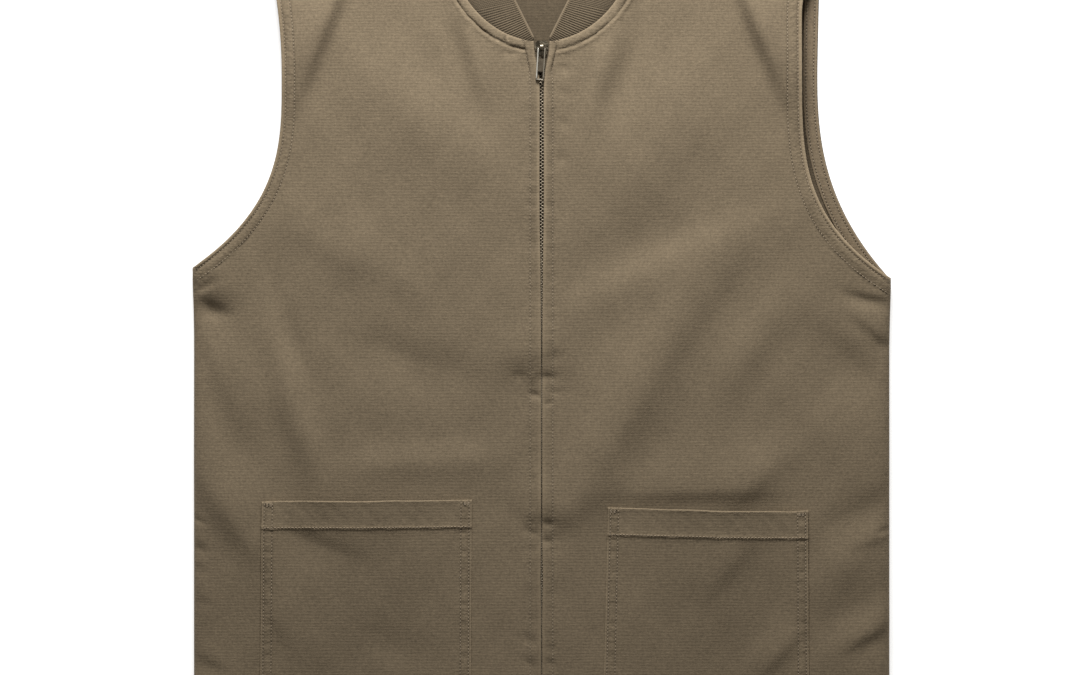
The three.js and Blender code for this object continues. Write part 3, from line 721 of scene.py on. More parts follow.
def make_object(name, points, faces, materials, face_material=None, values=None):
    mesh = bpy.data.meshes.new(name)
    mesh.from_pydata((np.asarray(points) * MM).tolist(), [], faces)
    for material in materials:
        mesh.materials.append(material)
    mesh.polygons.foreach_set("use_smooth", np.ones(len(mesh.polygons), dtype=bool))
    if face_material is not None:
        mesh.polygons.foreach_set("material_index", np.asarray(face_material, dtype=np.int32))
    for key, data in (values or {}).items():
        layer = mesh.attributes.new(key, "FLOAT", "POINT")
        layer.data.foreach_set("value", np.asarray(data, dtype=np.float32).ravel())
    mesh.update()
    return link_object(name, mesh)


def grid_normals(mid):
    return unit(np.cross(np.gradient(mid, axis=1), np.gradient(mid, axis=0)))


def distance_to_rim(mid):
    across = np.linalg.norm(np.diff(mid, axis=1), axis=2)
    along = np.linalg.norm(np.diff(mid, axis=0), axis=2)
    from_left = np.pad(np.cumsum(across, axis=1), ((0, 0), (1, 0)))
    from_foot = np.pad(np.cumsum(along, axis=0), ((1, 0), (0, 0)))
    sides = np.minimum(from_left, from_left[:, -1:] - from_left)
    ends = np.minimum(from_foot, from_foot[-1:, :] - from_foot)
    return np.minimum(sides, ends)


def grid_quads(index):
    return joined(index[:-1, :-1], index[:-1, 1:], index[1:, 1:], index[1:, :-1]).reshape(-1, 4)


def ring_quads(rings, sides):
    index = np.arange(rings * sides).reshape(rings, sides)
    return grid_quads(np.concatenate([index, index[:, :1]], axis=1))


def fan(start, sides, apex):
    around = start + np.arange(sides)
    return joined(around, np.roll(around, -1), apex)


def circle(sides):
    return np.arange(sides) * 2 * math.pi / sides


def unit(vectors):
    return vectors / np.linalg.norm(vectors, axis=-1, keepdims=True)


def sheet_object(name, mid, thick, material, extra=0.0, under=0.0, values=None):
    """A closed sheet round the middle grid, with round rims; extra and under add to its two faces."""
    rows, columns = mid.shape[:2]
    normal = grid_normals(mid)
    rounded = quarter_round(distance_to_rim(mid) / (thick / 2))
    over = mid + normal * ((thick / 2 + extra) * rounded)[..., None]
    below = mid - normal * ((thick / 2 + under) * rounded)[..., None]
    inside = np.zeros((rows, columns), dtype=bool)
    inside[1:-1, 1:-1] = True
    top = np.arange(rows * columns).reshape(rows, columns)
    bottom = top.copy()
    bottom[inside] = rows * columns + np.arange(inside.sum())
    points = np.concatenate([over.reshape(-1, 3), below[inside]])
    faces = np.concatenate([grid_quads(top), grid_quads(bottom)[:, ::-1]])
    full = {key: np.concatenate([data.ravel(), data[inside]]) for key, data in (values or {}).items()}
    return make_object(name, points, faces.tolist(), [material], values=full)


def tube_object(name, path, radius, material):
    """A round bar along a path, with rounded ends."""
    tangent = unit(np.gradient(path, axis=0))
    side = unit(np.cross(tangent, (0.0, 0.0, 1.0)))
    up = np.cross(side, tangent)
    from_start = np.arange(len(path))
    to_end = np.minimum(1.0, np.minimum(from_start, from_start[::-1]) / TUBE_END_STEPS)
    size = radius * np.sqrt(1.0 - (1.0 - to_end) ** 2 * TUBE_END_SQUARE)
    angle = circle(TUBE_SIDES)[None, :, None]
    ring = side[:, None, :] * np.cos(angle) + up[:, None, :] * np.sin(angle)
    points = (path[:, None, :] + ring * size[:, None, None]).reshape(-1, 3)
    first = list(range(TUBE_SIDES))[::-1]
    last = list(range(len(points) - TUBE_SIDES, len(points)))
    faces = ring_quads(len(path), TUBE_SIDES).tolist() + [first, last]
    return make_object(name, points, faces, [material])


# Stitches: each thread run is an arched capsule, with a near-black disc at its end as painted shade in the
# needle hole
STITCH_ALONG = np.array([-1.15, -0.85, 0.0, 0.85, 1.15])
STITCH_RADIUS = np.array([0.10, 0.27, 0.32, 0.27, 0.10])
STITCH_ARCH = np.array([-0.28, 0.02, 0.14, 0.02, -0.28])
STITCH_SIDES = 6
HOLE_RADIUS = 0.63
HOLE_HEIGHTS = dict(rim=-0.2, top=0.13, bottom=-0.3)
TANGENT_STEP = 0.4


def stitch_template():
    angle = circle(STITCH_SIDES)
    across = STITCH_RADIUS[:, None] * np.cos(angle)
    up = STITCH_ARCH[:, None] + STITCH_RADIUS[:, None] * np.sin(angle)
    points = joined(STITCH_ALONG[:, None], across, up).reshape(-1, 3)
    quads = ring_quads(len(STITCH_ALONG), STITCH_SIDES)
    return points, np.concatenate([quads[:, [0, 2, 1]], quads[:, [0, 3, 2]]])


def hole_template():
    angle = circle(STITCH_SIDES)
    rim = joined(HOLE_RADIUS * np.cos(angle), HOLE_RADIUS * np.sin(angle), HOLE_HEIGHTS["rim"])
    middle = [[0.0, 0.0, HOLE_HEIGHTS["top"]], [0.0, 0.0, HOLE_HEIGHTS["bottom"]]]
    points = np.concatenate([rim, middle]) + (STITCH_PITCH / 2, 0.0, 0.0)
    dome = fan(0, STITCH_SIDES, STITCH_SIDES)
    base = fan(0, STITCH_SIDES, STITCH_SIDES + 1)[:, [1, 0, 2]]
    return points, np.concatenate([dome, base])


def even_points(path, pitch):
    steps = np.linalg.norm(np.diff(path, axis=0), axis=1)
    length = np.concatenate([[0.0], np.cumsum(steps)])
    at = np.arange(pitch / 2, length[-1] - pitch / 4, pitch)

    def points(where):
        return joined(*(np.interp(where, length, axis) for axis in path.T))

    return points(at), unit(points(at + TANGENT_STEP) - points(at - TANGENT_STEP))


def spread(template, place, tangent):
    points, faces = template
    side = unit(np.cross((0.0, 0.0, 1.0), tangent))
    up = np.cross(tangent, side)
    axes = np.stack([tangent, side, up], axis=1)
    out = place[:, None, :] + np.einsum("tk,nkc->ntc", points, axes)
    shift = np.arange(len(place))[:, None, None] * len(points)
    return out.reshape(-1, 3), (faces[None] + shift).reshape(-1, 3)


def stitches_object(name, paths):
    points, faces, kinds = [], [], []
    count = 0
    for path in paths:
        placed = even_points(path, STITCH_PITCH)
        for kind, template in enumerate((stitch_template(), hole_template())):
            more_points, more_faces = spread(template, *placed)
            points.append(more_points)
            faces.append(more_faces + count)
            kinds.append(np.full(len(more_faces), kind))
            count += len(more_points)
    materials = [thread_material, hole_shade_material]
    joined = np.concatenate(faces).tolist()
    return make_object(name, np.concatenate(points), joined, materials, np.concatenate(kinds))


# Materials
def new_material(name, roughness, specular):
    material = bpy.data.materials.new(name)
    material.use_nodes = True
    tree = material.node_tree
    shader = tree.nodes["Principled BSDF"]
    shader.inputs["Roughness"].default_value = roughness
    shader.inputs["Specular IOR Level"].default_value = specular
    return material, tree, shader


def add_node(tree, kind, **inputs):
    node = tree.nodes.new(kind)
    for key, value in inputs.items():
        node.inputs[key.replace("_", " ")].default_value = value
    return node


def colour_from(tree, shader, colour):
    tree.links.new(colour, shader.inputs["Base Color"])


def math_node(tree, operation, a, b):
    node = tree.nodes.new("ShaderNodeMath")
    node.operation = operation
    for socket, value in zip(node.inputs, (a, b)):
        if isinstance(value, (int, float)):
            socket.default_value = value
        else:
            tree.links.new(value, socket)
    return node.outputs[0]


def scaled_place(tree, scale):
    place = tree.nodes.new("ShaderNodeTexCoord")
    mapping = tree.nodes.new("ShaderNodeMapping")
    mapping.inputs["Scale"].default_value = scale
    tree.links.new(place.outputs["Object"], mapping.inputs["Vector"])
    return mapping.outputs["Vector"]


def noise(tree, scale, detail):
    node = add_node(tree, "ShaderNodeTexNoise", Scale=1.0, Detail=detail, Roughness=0.55)
    tree.links.new(scaled_place(tree, scale), node.inputs["Vector"])
    return node.outputs["Fac"]


def weft_wave(tree, pitch, distortion):
    node = add_node(tree, "ShaderNodeTexWave", Scale=1.0, Distortion=distortion, Detail=2.0)
    node.inputs["Detail Scale"].default_value = 1.2
    node.wave_type = "BANDS"
    node.bands_direction = "Y"
    turns = math.pi / 10 / (pitch * MM)
    tree.links.new(scaled_place(tree, (turns * 0.08, turns, turns * 0.3)), node.inputs["Vector"])
    return node.outputs["Fac"]


def attribute(tree, name):
    node = tree.nodes.new("ShaderNodeAttribute")
    node.attribute_name = name
    return node.outputs["Fac"]


def scaled(tree, value, amount):
    return math_node(tree, "MULTIPLY", value, amount)


def centred(tree, value, amount):
    return scaled(tree, math_node(tree, "SUBTRACT", value, 0.5), amount)


def total(tree, values):
    result = values[0]
    for value in values[1:]:
        result = math_node(tree, "ADD", result, value)
    return result


def blend_colour(tree, factor, first, second):
    node = tree.nodes.new("ShaderNodeMix")
    node.data_type = "RGBA"
    tree.links.new(factor, node.inputs["Factor"])
    for socket, value in ((node.inputs["A"], first), (node.inputs["B"], second)):
        if isinstance(value, tuple):
            socket.default_value = (*value, 1.0)
        else:
            tree.links.new(value, socket)
    return node.outputs["Result"]


def shade_by(colour, factor):
    return tuple(channel * factor for channel in colour)


def tinted(tree, cloth, mask, amount, tint):
    return blend_colour(tree, scaled(tree, attribute(tree, mask), amount), cloth, tint)


def bump_from(tree, shader, height, strength, distance):
    node = add_node(tree, "ShaderNodeBump", Strength=strength, Distance=distance)
    tree.links.new(height, node.inputs["Height"])
    tree.links.new(node.outputs["Normal"], shader.inputs["Normal"])


# Threads of the canvas: scale of each noise, how much it colours and how much it stands out
Grain = namedtuple("Grain", "scale detail tone bump")
CANVAS_GRAIN = [
    Grain((240, 640, 240), 3.0, 0.55, 1.0),
    Grain((800, 1300, 800), 2.0, 0.8, 0.7),
    Grain((520, 330, 520), 2.0, 1.1, 0.8),
    Grain((150, 130, 150), 2.0, 0.15, 0.0),
    Grain((16, 22, 16), 4.0, 0.3, 0.0),
]
WEFT = dict(pitch=2.6, distortion=4.0, tone=0.1, bump=0.25)
PUCKER_SCALE = (310, 400, 310)
PUCKER_BUMP = 3.0


# Looks
def canvas_look(name, base):
    material, tree, shader = new_material(name, roughness=0.92, specular=0.18)
    shader.inputs["Sheen Weight"].default_value = 0.06
    shader.inputs["Sheen Roughness"].default_value = 0.5
    weft = weft_wave(tree, WEFT["pitch"], WEFT["distortion"])
    tones = [centred(tree, weft, WEFT["tone"])]
    heights = [scaled(tree, weft, WEFT["bump"])]
    for grain in CANVAS_GRAIN:
        threads = noise(tree, grain.scale, grain.detail)
        tones.append(centred(tree, threads, grain.tone))
        if grain.bump:
            heights.append(scaled(tree, threads, grain.bump))
    factor = math_node(tree, "ADD", total(tree, tones), 0.5)
    cloth = blend_colour(tree, factor, shade_by(base, 0.72), shade_by(base, 1.28))
    # Lighter along rolled edges: partly wear, partly a painted highlight where edges face the light
    cloth = tinted(tree, cloth, "wear", 0.85, shade_by(base, 1.75))
    # Painted shade: darker in stitch grooves, creases, the zip strip's valley, under the pocket band and at
    # the bar tacks
    cloth = tinted(tree, cloth, "groove", 0.42, shade_by(base, 0.35))
    colour_from(tree, shader, cloth)
    puckers = math_node(tree, "MULTIPLY", noise(tree, PUCKER_SCALE, detail=1.0), attribute(tree, "pucker"))
    heights.append(scaled(tree, puckers, PUCKER_BUMP))
    bump_from(tree, shader, total(tree, heights), strength=0.4, distance=0.0004)
    return material


def rib_look(name, base):
    material, tree, shader = new_material(name, roughness=0.95, specular=0.12)
    shader.inputs["Sheen Weight"].default_value = 0.08
    fibre = noise(tree, (900, 900, 900), detail=3.0)
    cloudy = noise(tree, (40, 40, 40), detail=3.0)
    # Painted shade between the ribs and painted highlight on their crests; the free edge lightened for wear
    # and a painted highlight; painted shade at the seam and tip
    tones = [centred(tree, fibre, 0.7), centred(tree, cloudy, 0.3), attribute(tree, "rib")]
    knit = blend_colour(tree, total(tree, tones), shade_by(base, 0.3), shade_by(base, 1.45))
    knit = tinted(tree, knit, "wear", 0.75, shade_by(base, 1.5))
    knit = tinted(tree, knit, "groove", 0.6, shade_by(base, 0.3))
    colour_from(tree, shader, knit)
    bump_from(tree, shader, fibre, strength=0.5, distance=0.0004)
    return material


def thread_look(name, base):
    material, tree, shader = new_material(name, roughness=0.8, specular=0.25)
    twist = noise(tree, (1800, 1800, 1800), detail=2.0)
    colour_from(tree, shader, blend_colour(tree, twist, shade_by(base, 0.7), shade_by(base, 1.3)))
    bump_from(tree, shader, twist, strength=0.5, distance=0.0002)
    return material


def brass_look(name, base, dark, roughness, metallic):
    material, tree, shader = new_material(name, roughness, specular=0.5)
    shader.inputs["Metallic"].default_value = metallic
    tarnish = noise(tree, (420, 420, 420), detail=4.0)
    scratches = noise(tree, (2600, 300, 900), detail=2.0)
    patches = scaled(tree, math_node(tree, "SUBTRACT", tarnish, 0.42), 3.0)
    colour_from(tree, shader, blend_colour(tree, patches, dark, base))
    uneven = math_node(tree, "ADD", centred(tree, scratches, 0.25), roughness)
    tree.links.new(uneven, shader.inputs["Roughness"])
    bump_from(tree, shader, scratches, strength=0.15, distance=0.0002)
    return material


def rail_look(name, base, roughness):
    return brass_look(name, base, shade_by(base, 0.75), roughness, metallic=0.2)


# Colours
CANVAS_COLOUR = (0.244, 0.188, 0.121)
# Painted shade: the back's inside, seen through the neck and armholes, is darkened to stand for the shade
# inside the vest
INSIDE_SHADE_COLOUR = (0.130, 0.099, 0.063)
FACING_COLOUR = (0.248, 0.189, 0.122)
RIB_COLOUR = (0.155, 0.119, 0.077)
THREAD_COLOUR = (0.40, 0.32, 0.225)
# Painted shade: near-black discs stand for the shade inside the needle holes
HOLE_SHADE_COLOUR = (0.05, 0.038, 0.024)
BRASS_COLOUR = (0.55, 0.47, 0.33)
BRASS_DARK = (0.06, 0.047, 0.03)
TEETH_COLOUR = (0.46, 0.385, 0.275)
TEETH_DARK = (0.25, 0.2, 0.135)
PLATE_COLOUR = (0.18, 0.145, 0.098)
PLATE_DARK = (0.11, 0.086, 0.057)
# Lit and shaded copies of the rail brass: a painted highlight and a painted shade
HIGHLIT_RAIL = (0.78, 0.74, 0.64)
SHADED_RAIL = (0.36, 0.315, 0.24)

canvas_material = canvas_look("canvas_cloth", CANVAS_COLOUR)
inside_shade_material = canvas_look("canvas_inside_shade", INSIDE_SHADE_COLOUR)
facing_material = canvas_look("canvas_facing", FACING_COLOUR)
tape_material = canvas_look("zip_tape_cloth", shade_by(CANVAS_COLOUR, 0.8))
rib_material = rib_look("rib_knit", RIB_COLOUR)
thread_material = thread_look("sewing_thread", THREAD_COLOUR)
hole_shade_material = thread_look("needle_hole_shade", HOLE_SHADE_COLOUR)
brass_material = brass_look("antique_brass", BRASS_COLOUR, BRASS_DARK, roughness=0.38, metallic=0.6)
teeth_material = brass_look("dull_teeth", TEETH_COLOUR, TEETH_DARK, roughness=0.55, metallic=0.3)
plate_material = brass_look("worn_plate", PLATE_COLOUR, PLATE_DARK, roughness=0.5, metallic=0.35)
highlit_rail_material = rail_look("highlit_brass", HIGHLIT_RAIL, roughness=0.35)
shaded_rail_material = rail_look("shaded_brass", SHADED_RAIL, roughness=0.4)


# Pieces: the body that each rides on and the nodes that it replaces
def place_piece(piece, slot, *nodes, body="vest"):
    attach(piece, body)
    if nodes:
        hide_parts(*nodes)


def sew(name, paths):
    thread = stitches_object(name, paths)
    place_piece(thread, "canvas")
    return thread


# Front panels with their stitch rows
def on_front(row, x, y, rise=THREAD_RISE):
    z, _ = front_surface(row, x, y)
    return joined(x, y, z + CANVAS / 2 + rise)


def armhole_row(row, inset, low_cut=ARM_ROW_CUT):
    below_corner, below_tip = ARM_ROW_ENDS
    y = np.arange(row.corner_y - below_corner, SHOULDER_TIP_Y - below_tip, STITCH_STEP)
    x_in, y_in = armhole_inset(row, y, inset)
    keep = x_in < SIDE_X + CORNER_OUT - low_cut
    return row.side * x_in[keep], y_in[keep]


def front_stitch_paths(row):
    paths = [on_front(row, *armhole_row(row, inset)) for inset in (ARM_ROW, row.inner_row)]
    y = np.arange(HEM_Y + ZIP_ROW_FROM_HEM, ZIP_ROW_TOP_Y, LONG_ROW_STEP)
    paths.append(on_front(row, row.side * zip_stitch_x(row.side, y), y, rise=ZIP_THREAD_RISE))
    x = np.arange(HEM_ROW_FROM_X, SIDE_X - HEM_ROW_TO_SIDE, LONG_ROW_STEP)
    paths.append(on_front(row, row.side * x, np.full_like(x, HEM_Y + HEM_ROW)))
    return paths


def build_front(side):
    row = ARMHOLES[f"front_{side}"]
    mid, masks = front_grid(row)
    panel = sheet_object(f"front_{side}_cloth", mid, CANVAS, canvas_material, values=masks)
    place_piece(panel, "canvas", f"front_{side}_panel")
    thread = sew(f"front_{side}_stitches", front_stitch_paths(row))


# Back panel, flat on its outside
def back_top_y(x):
    ax = np.abs(x)
    tip_x = np.where(x > 0, ARMHOLES["back_left"].tip_x, ARMHOLES["back_right"].tip_x)
    shoulder = mix(NECK_Y, SHOULDER_TIP_Y, (ax - NECK_X) / (tip_x - NECK_X))
    neck = NECK_Y - BACK_NECK_DROP * np.sqrt(clamped(1.0 - (ax / NECK_X) ** 2))
    return np.where(ax < NECK_X, neck, shoulder)


def back_side_x(row, y):
    return np.where(y < row.corner_y, side_x(row, y), armhole_x(row, y))[:, None]


def back_line(low_x, high_x):
    edge = edge_distances(BACK_REACH)[::2]
    return edge_columns(high_x + low_x, edge, BACK_REACH, BACK_COLUMNS) - low_x


def back_grid():
    left, right = ARMHOLES["back_left"], ARMHOLES["back_right"]
    low_end = left.corner_y - BACK_ROWS["to_corner"]
    low_rows = np.arange(HEM_Y + BACK_ROWS["from_hem"], low_end, BACK_ROWS["low_pitch"])
    high_rows = np.arange(left.corner_y, SHOULDER_TIP_Y - BACK_ROWS["to_tip"], BACK_ROWS["high_pitch"])
    y = np.concatenate([HEM_Y + RIM_STEPS, low_rows, high_rows])
    x = back_line(back_side_x(right, y), back_side_x(left, y))
    y = y[:, None] + 0 * x
    top_x = back_line(np.array([[right.tip_x]]), np.array([[left.tip_x]]))
    t = shares_to_rim(*BACK_SHOULDER_ROWS)[:, None]
    x = np.concatenate([x, mix(x[-1:], top_x, t)])
    y = np.concatenate([y, mix(y[-1:], back_top_y(top_x), t)])
    return x, y


def back_edges(x, y):
    left, right = ARMHOLES["back_left"], ARMHOLES["back_right"]
    return np.where(x > 0, armhole_distance(left, x, y), armhole_distance(right, x, y))


def build_back():
    x, y = back_grid()
    mid = joined(x, y, CANVAS / 2)
    d = back_edges(x, y)
    above = smoothstep(*BACK_ARMHOLE_Y, y)
    # Painted shade along the back's stitch rows at the armholes, and lighter worn edges
    values = dict(groove=relief(d, BACK_GROOVE) * above, wear=relief(d, BACK_RUBBED) * above)
    lift = BACK_UNEVEN["amount"] * (ripple(x, y) + BACK_UNEVEN["mean"])
    # The back carries the darkened material that paints the shade inside the vest
    panel = sheet_object("back_cloth", mid, CANVAS, inside_shade_material, extra=lift, values=values)
    place_piece(panel, "canvas", "back_panel")


# Armhole facings
Facing = namedtuple("Facing", "width clear first last pitch above_corner below_tip row_pitch")
FACINGS = dict(
    back=Facing(12.0, 0.7, 1.1, 11.4, 0.7, 3.0, 4.0, 2.0),
    front=Facing(10.8, 1.0, 1.3, 10.5, 1.0, 12.0, 16.0, 3.0),
)
FACING_GAP = 0.15
FACING_RIM = RIM_STEPS * 0.8
FACING_SIDE_GAP = 2.5
FACING_THREAD_RISE = 0.12
FACING_ROW_CUT = 3.0
FACING_ROW_BELOW_TIP = 8


def facing_plan(row, facing):
    """Points of the strip inside an armhole, and their distances from the armhole's edge."""
    low_y = row.corner_y + facing.above_corner
    y = np.arange(low_y, SHOULDER_TIP_Y - facing.below_tip, facing.row_pitch)[:, None]
    between = np.arange(facing.first, facing.last, facing.pitch)
    inset = np.concatenate([FACING_RIM, between, facing.width - FACING_RIM[::-1]])[::-1]
    d = inset + facing.clear + 0 * y
    x, y = armhole_inset(row, y, d)
    x = row.side * np.minimum(x, SIDE_X + CORNER_OUT - FACING_SIDE_GAP)
    return (x, y, d) if row.side > 0 else (x[:, ::-1], y[:, ::-1], d[:, ::-1])


def back_facing_stitches(row):
    paths = []
    for inset in (ARM_ROW, row.inner_row):
        x, y = armhole_row(row, inset, low_cut=FACING_ROW_CUT)
        below_tip = y < SHOULDER_TIP_Y - FACING_ROW_BELOW_TIP
        paths.append(joined(x, y, CANVAS + FACING + FACING_THREAD_RISE)[below_tip])
    return paths


def build_back_facing(side):
    row = ARMHOLES[f"back_{side}"]
    x, y, d = facing_plan(row, FACINGS["back"])
    groove = clamped(stitch_grooves(d, (ARM_ROW, row.inner_row)))
    lift = relief(d, FACING_BETWEEN) - FACING_GROOVE_DEPTH * groove
    lift = lift + FACING_UNEVEN["height"] * wobble(y * FACING_UNEVEN["wave"])
    mid = joined(x, y, CANVAS + FACING_GAP + FACING / 2 + lift)
    values = dict(groove=groove * FACING_GROOVE_SHADE, wear=relief(d, FACING_RUBBED))
    strip = sheet_object(f"back_{side}_facing", mid, FACING, facing_material, values=values)
    place_piece(strip, "canvas", f"armhole_facing_back_{side}")
    thread = sew(f"back_{side}_facing_stitches", back_facing_stitches(row))


def build_front_facing(side):
    row = ARMHOLES[f"front_{side}"]
    x, y, _ = facing_plan(row, FACINGS["front"])
    z, masks = front_surface(row, x, y)
    mid = joined(x, y, z - CANVAS / 2 - FACING_GAP - FACING / 2)
    strip = sheet_object(f"front_{side}_facing", mid, FACING, facing_material, values=masks)
    place_piece(strip, "canvas", f"armhole_facing_front_{side}")


# Patch pockets
def pocket_rest(row, x, y):
    shifts = (-POCKET_REST, 0.0, POCKET_REST)
    return np.max([front_height(row, x + dx, y + dy) for dx in shifts for dy in shifts], axis=0)


def pocket_xy(pocket, across, down):
    """Plan of the pocket; its mouth is wavy and rises or sinks at the outer corner."""
    mouth_x = mix(pocket.mouth_in[0], pocket.mouth_out[0], across)
    mouth_y = mix(pocket.mouth_in[1], pocket.mouth_out[1], across)
    wave = MOUTH_WAVE * wobble(mouth_x * POCKET_WAVES["mouth"]) * np.sin(across * math.pi)
    raised = pocket.corner_rise * smoothstep(*MOUTH_CORNER, across)
    x = mix(mouth_x, mix(pocket.foot_in, pocket.foot_out, across), down)
    y = mix(mouth_y, POCKET_FOOT_Y, down) + (wave + raised) * (1.0 - down) ** MOUTH_FADE
    return pocket.side * x, y


def pocket_sizes(pocket):
    return pocket.foot_out - pocket.foot_in, pocket.mouth_in[1] - POCKET_FOOT_Y


def pocket_base(pocket, across, down, x, y):
    """Height of the pocket without its relief, of the cloth it is sewn to, and how free it is."""
    wide, tall = pocket_sizes(pocket)
    row = ARMHOLES["front_left" if pocket.side > 0 else "front_right"]
    sewn = front_surface(row, x, y)[0] + CANVAS + POCKET_SEAM_GAP
    crown = (1.0 - (2.0 * across - 1.0) ** 2) ** 2
    bulge = POCKET_BULGE * crown * (1.0 - down) ** POCKET_FADE
    loose = pocket_rest(row, x, y) + CANVAS + POCKET_GAP + bulge
    to_seam = np.minimum(np.minimum(across, 1.0 - across) * wide, (1.0 - down) * tall)
    free = smoothstep(*POCKET_FREE, to_seam)
    return np.maximum(mix(sewn, loose, free), sewn), sewn, free


def pocket_lift(x, y, to_side, to_foot, to_mouth, free):
    """Rolls, puckers and folds of the pocket, without its stitch grooves."""
    lift = sum(relief(to_side, roll) for roll in POCKET_ROLLS) + relief(to_foot, POCKET_FOOT_ROLL)
    lift += wobble(y * POCKET_WAVES["side"]) * relief(to_side, POCKET_SIDE_PUCKER)
    lift += wobble((x + y) * POCKET_WAVES["band"]) * relief(to_mouth, POCKET_BAND_PUCKER)
    uneven = ripple(x * POCKET_RIPPLE["stretch"] + POCKET_RIPPLE["shift"], y)
    lift += POCKET_RIPPLE["amount"] * uneven + fold_sum(POCKET_FOLDS, x, y) * free
    return lift


def pocket_masks(groove, step, to_side, to_foot, to_mouth, from_band):
    # Painted shade below the band's edge and at the bar tacks
    tack_shade = relief(to_mouth, MOUTH_TACK_SHADE) + relief(from_band, BAND_TACK_SHADE)
    shadow = relief(from_band, BAND_SHADOW) * (1.0 - step) + tack_shade * (1.0 - smoothstep(*TACK_REACH, to_side))
    # Lighter at the mouth, the sides and the band's edge: wear and a painted highlight
    wear = relief(to_mouth, MOUTH_WEAR_AND_HIGHLIGHT) + relief(to_side, POCKET_SIDE_WEAR_AND_HIGHLIGHT)
    wear += relief(from_band, BAND_WEAR_AND_HIGHLIGHT) * step
    creased = relief(to_side, POCKET_CREASED) + relief(to_foot, POCKET_CREASED)
    creased += relief(from_band, BAND_CREASED) + relief(to_mouth, MOUTH_CREASED)
    return unit_masks(groove=groove + shadow, wear=wear, pucker=creased)


def pocket_surface(pocket, across, down):
    """Middle of the pocket's cloth, the extra height of its band, and its masks."""
    wide, tall = pocket_sizes(pocket)
    x, y = pocket_xy(pocket, across, down)
    to_side = np.minimum(across, 1.0 - across) * wide
    to_foot = (1.0 - down) * tall
    to_mouth = down * tall
    z, sewn, free = pocket_base(pocket, across, down, x, y)
    groove = clamped(stitch_grooves(to_side, POCKET_ROWS) + stitch_grooves(to_foot, POCKET_ROWS))
    lift = pocket_lift(x, y, to_side, to_foot, to_mouth, free) - POCKET_GROOVE_DEPTH * groove
    z = np.maximum(z + lift, sewn + POCKET_DENT * np.minimum(lift, 0.0))
    from_band = to_mouth - BAND_HEIGHT + BAND_EDGE_UNEVEN * wobble(x * POCKET_WAVES["band_edge"])
    step = 1.0 - smoothstep(*BAND_STEP, from_band)
    band = (BAND_EXTRA + relief(from_band, BAND_LIP)) * step
    return joined(x, y, z), band, pocket_masks(groove, step, to_side, to_foot, to_mouth, from_band)


def pocket_shares(pocket):
    wide, tall = pocket_sizes(pocket)
    edge = edge_distances(POCKET_REACH)
    columns = edge_columns(np.array([[wide]]), edge, POCKET_REACH, POCKET_COLUMNS)[0]
    runs = [np.arange(*run) for run in POCKET_ROW_RUNS]
    low_end = tall - POCKET_REACH - POCKET_LOW_ROWS["end_gap"]
    low = np.arange(POCKET_LOW_ROWS["start"], low_end, POCKET_LOW_ROWS["pitch"])
    rows = np.concatenate([RIM_STEPS, *runs, low, tall - edge[::-1]])
    return columns / wide, rows[::-1] / tall


def on_pocket(pocket, across, down):
    mid, band, _ = pocket_surface(pocket, across, down)
    mid[:, 2] += CANVAS / 2 + band + THREAD_RISE
    return mid


def pocket_stitch_paths(pocket):
    wide, tall = pocket_sizes(pocket)

    def level_row(along, depth):
        return on_pocket(pocket, along / wide, np.full_like(along, depth / tall))

    paths = []
    for inset in POCKET_ROWS:
        down = np.arange(POCKET_ROW_START, tall - inset, STITCH_STEP) / tall
        for across in (inset / wide, 1.0 - inset / wide):
            paths.append(on_pocket(pocket, np.full_like(down, across), down))
        paths.append(level_row(np.arange(inset, wide - inset, STITCH_STEP), tall - inset))
    across = np.arange(BAND_ROW_ENDS, wide - BAND_ROW_ENDS, STITCH_STEP)
    paths.append(level_row(across, BAND_HEIGHT - BAND_ROW))
    for depth in TACK_ROWS:
        for start in (POCKET_ROW_START, wide - POCKET_ROWS[1]):
            end = start + POCKET_ROWS[1] - POCKET_ROW_START
            paths.append(level_row(np.linspace(start, end, TACK_POINTS), depth))
    return paths


def build_pocket(side):
    pocket = POCKETS[side]
    columns, rows = pocket_shares(pocket)
    if pocket.side < 0:
        columns = columns[::-1]
    across, down = np.meshgrid(columns, rows)
    mid, band, masks = pocket_surface(pocket, across, down)
    patch = sheet_object(f"pocket_{side}_cloth", mid, CANVAS, canvas_material, extra=band, values=masks)
    place_piece(patch, "canvas", f"pocket_{side}")
    thread = sew(f"pocket_{side}_stitches", pocket_stitch_paths(pocket))


# Rib collar
def collar_front():
    t = np.linspace(0.0, 1.0, COLLAR_COUNTS["front"])
    angle = mix(math.asin(NECK_CORNER_X / NECK_X), math.pi / 2, t)
    clear = mix(*COLLAR_CLEAR, smoothstep(*COLLAR_CLEAR_AT, t))
    x, y = neck_point(angle, FRONT_NECK_DROP, clear)
    inside = front_height(ARMHOLES["front_left"], x, y) - COLLAR_SEAM_SINK
    seam = joined(x, y, np.maximum(COLLAR_BACK_Z + 2 * COLLAR_TURN_SEAM, inside))
    tip = np.array([*COLLAR_TIP, ZIP_Z - COLLAR_FREE_SINK])
    corner = np.array([*COLLAR_CORNER, COLLAR_BACK_Z + 2 * COLLAR_TURN_FREE])
    return seam, mix(tip, corner, t[:, None] ** COLLAR_LEAD)


def collar_turn(seam_start, free_start):
    """Half turns from the front down to the back, at the seam and at the free edge."""
    line = free_start[:2] - seam_start[:2]
    out = np.array([line[1], -line[0], 0.0]) / np.hypot(*line)
    angle = np.linspace(0.0, math.pi, COLLAR_COUNTS["turn"])[1:-1, None]

    def arc(at, radius):
        low = np.array([at[0], at[1], COLLAR_BACK_Z])
        return low + out * radius * np.sin(angle) + np.array([0.0, 0.0, radius]) * (1.0 + np.cos(angle))

    return arc(seam_start, COLLAR_TURN_SEAM), arc(free_start, COLLAR_TURN_FREE)


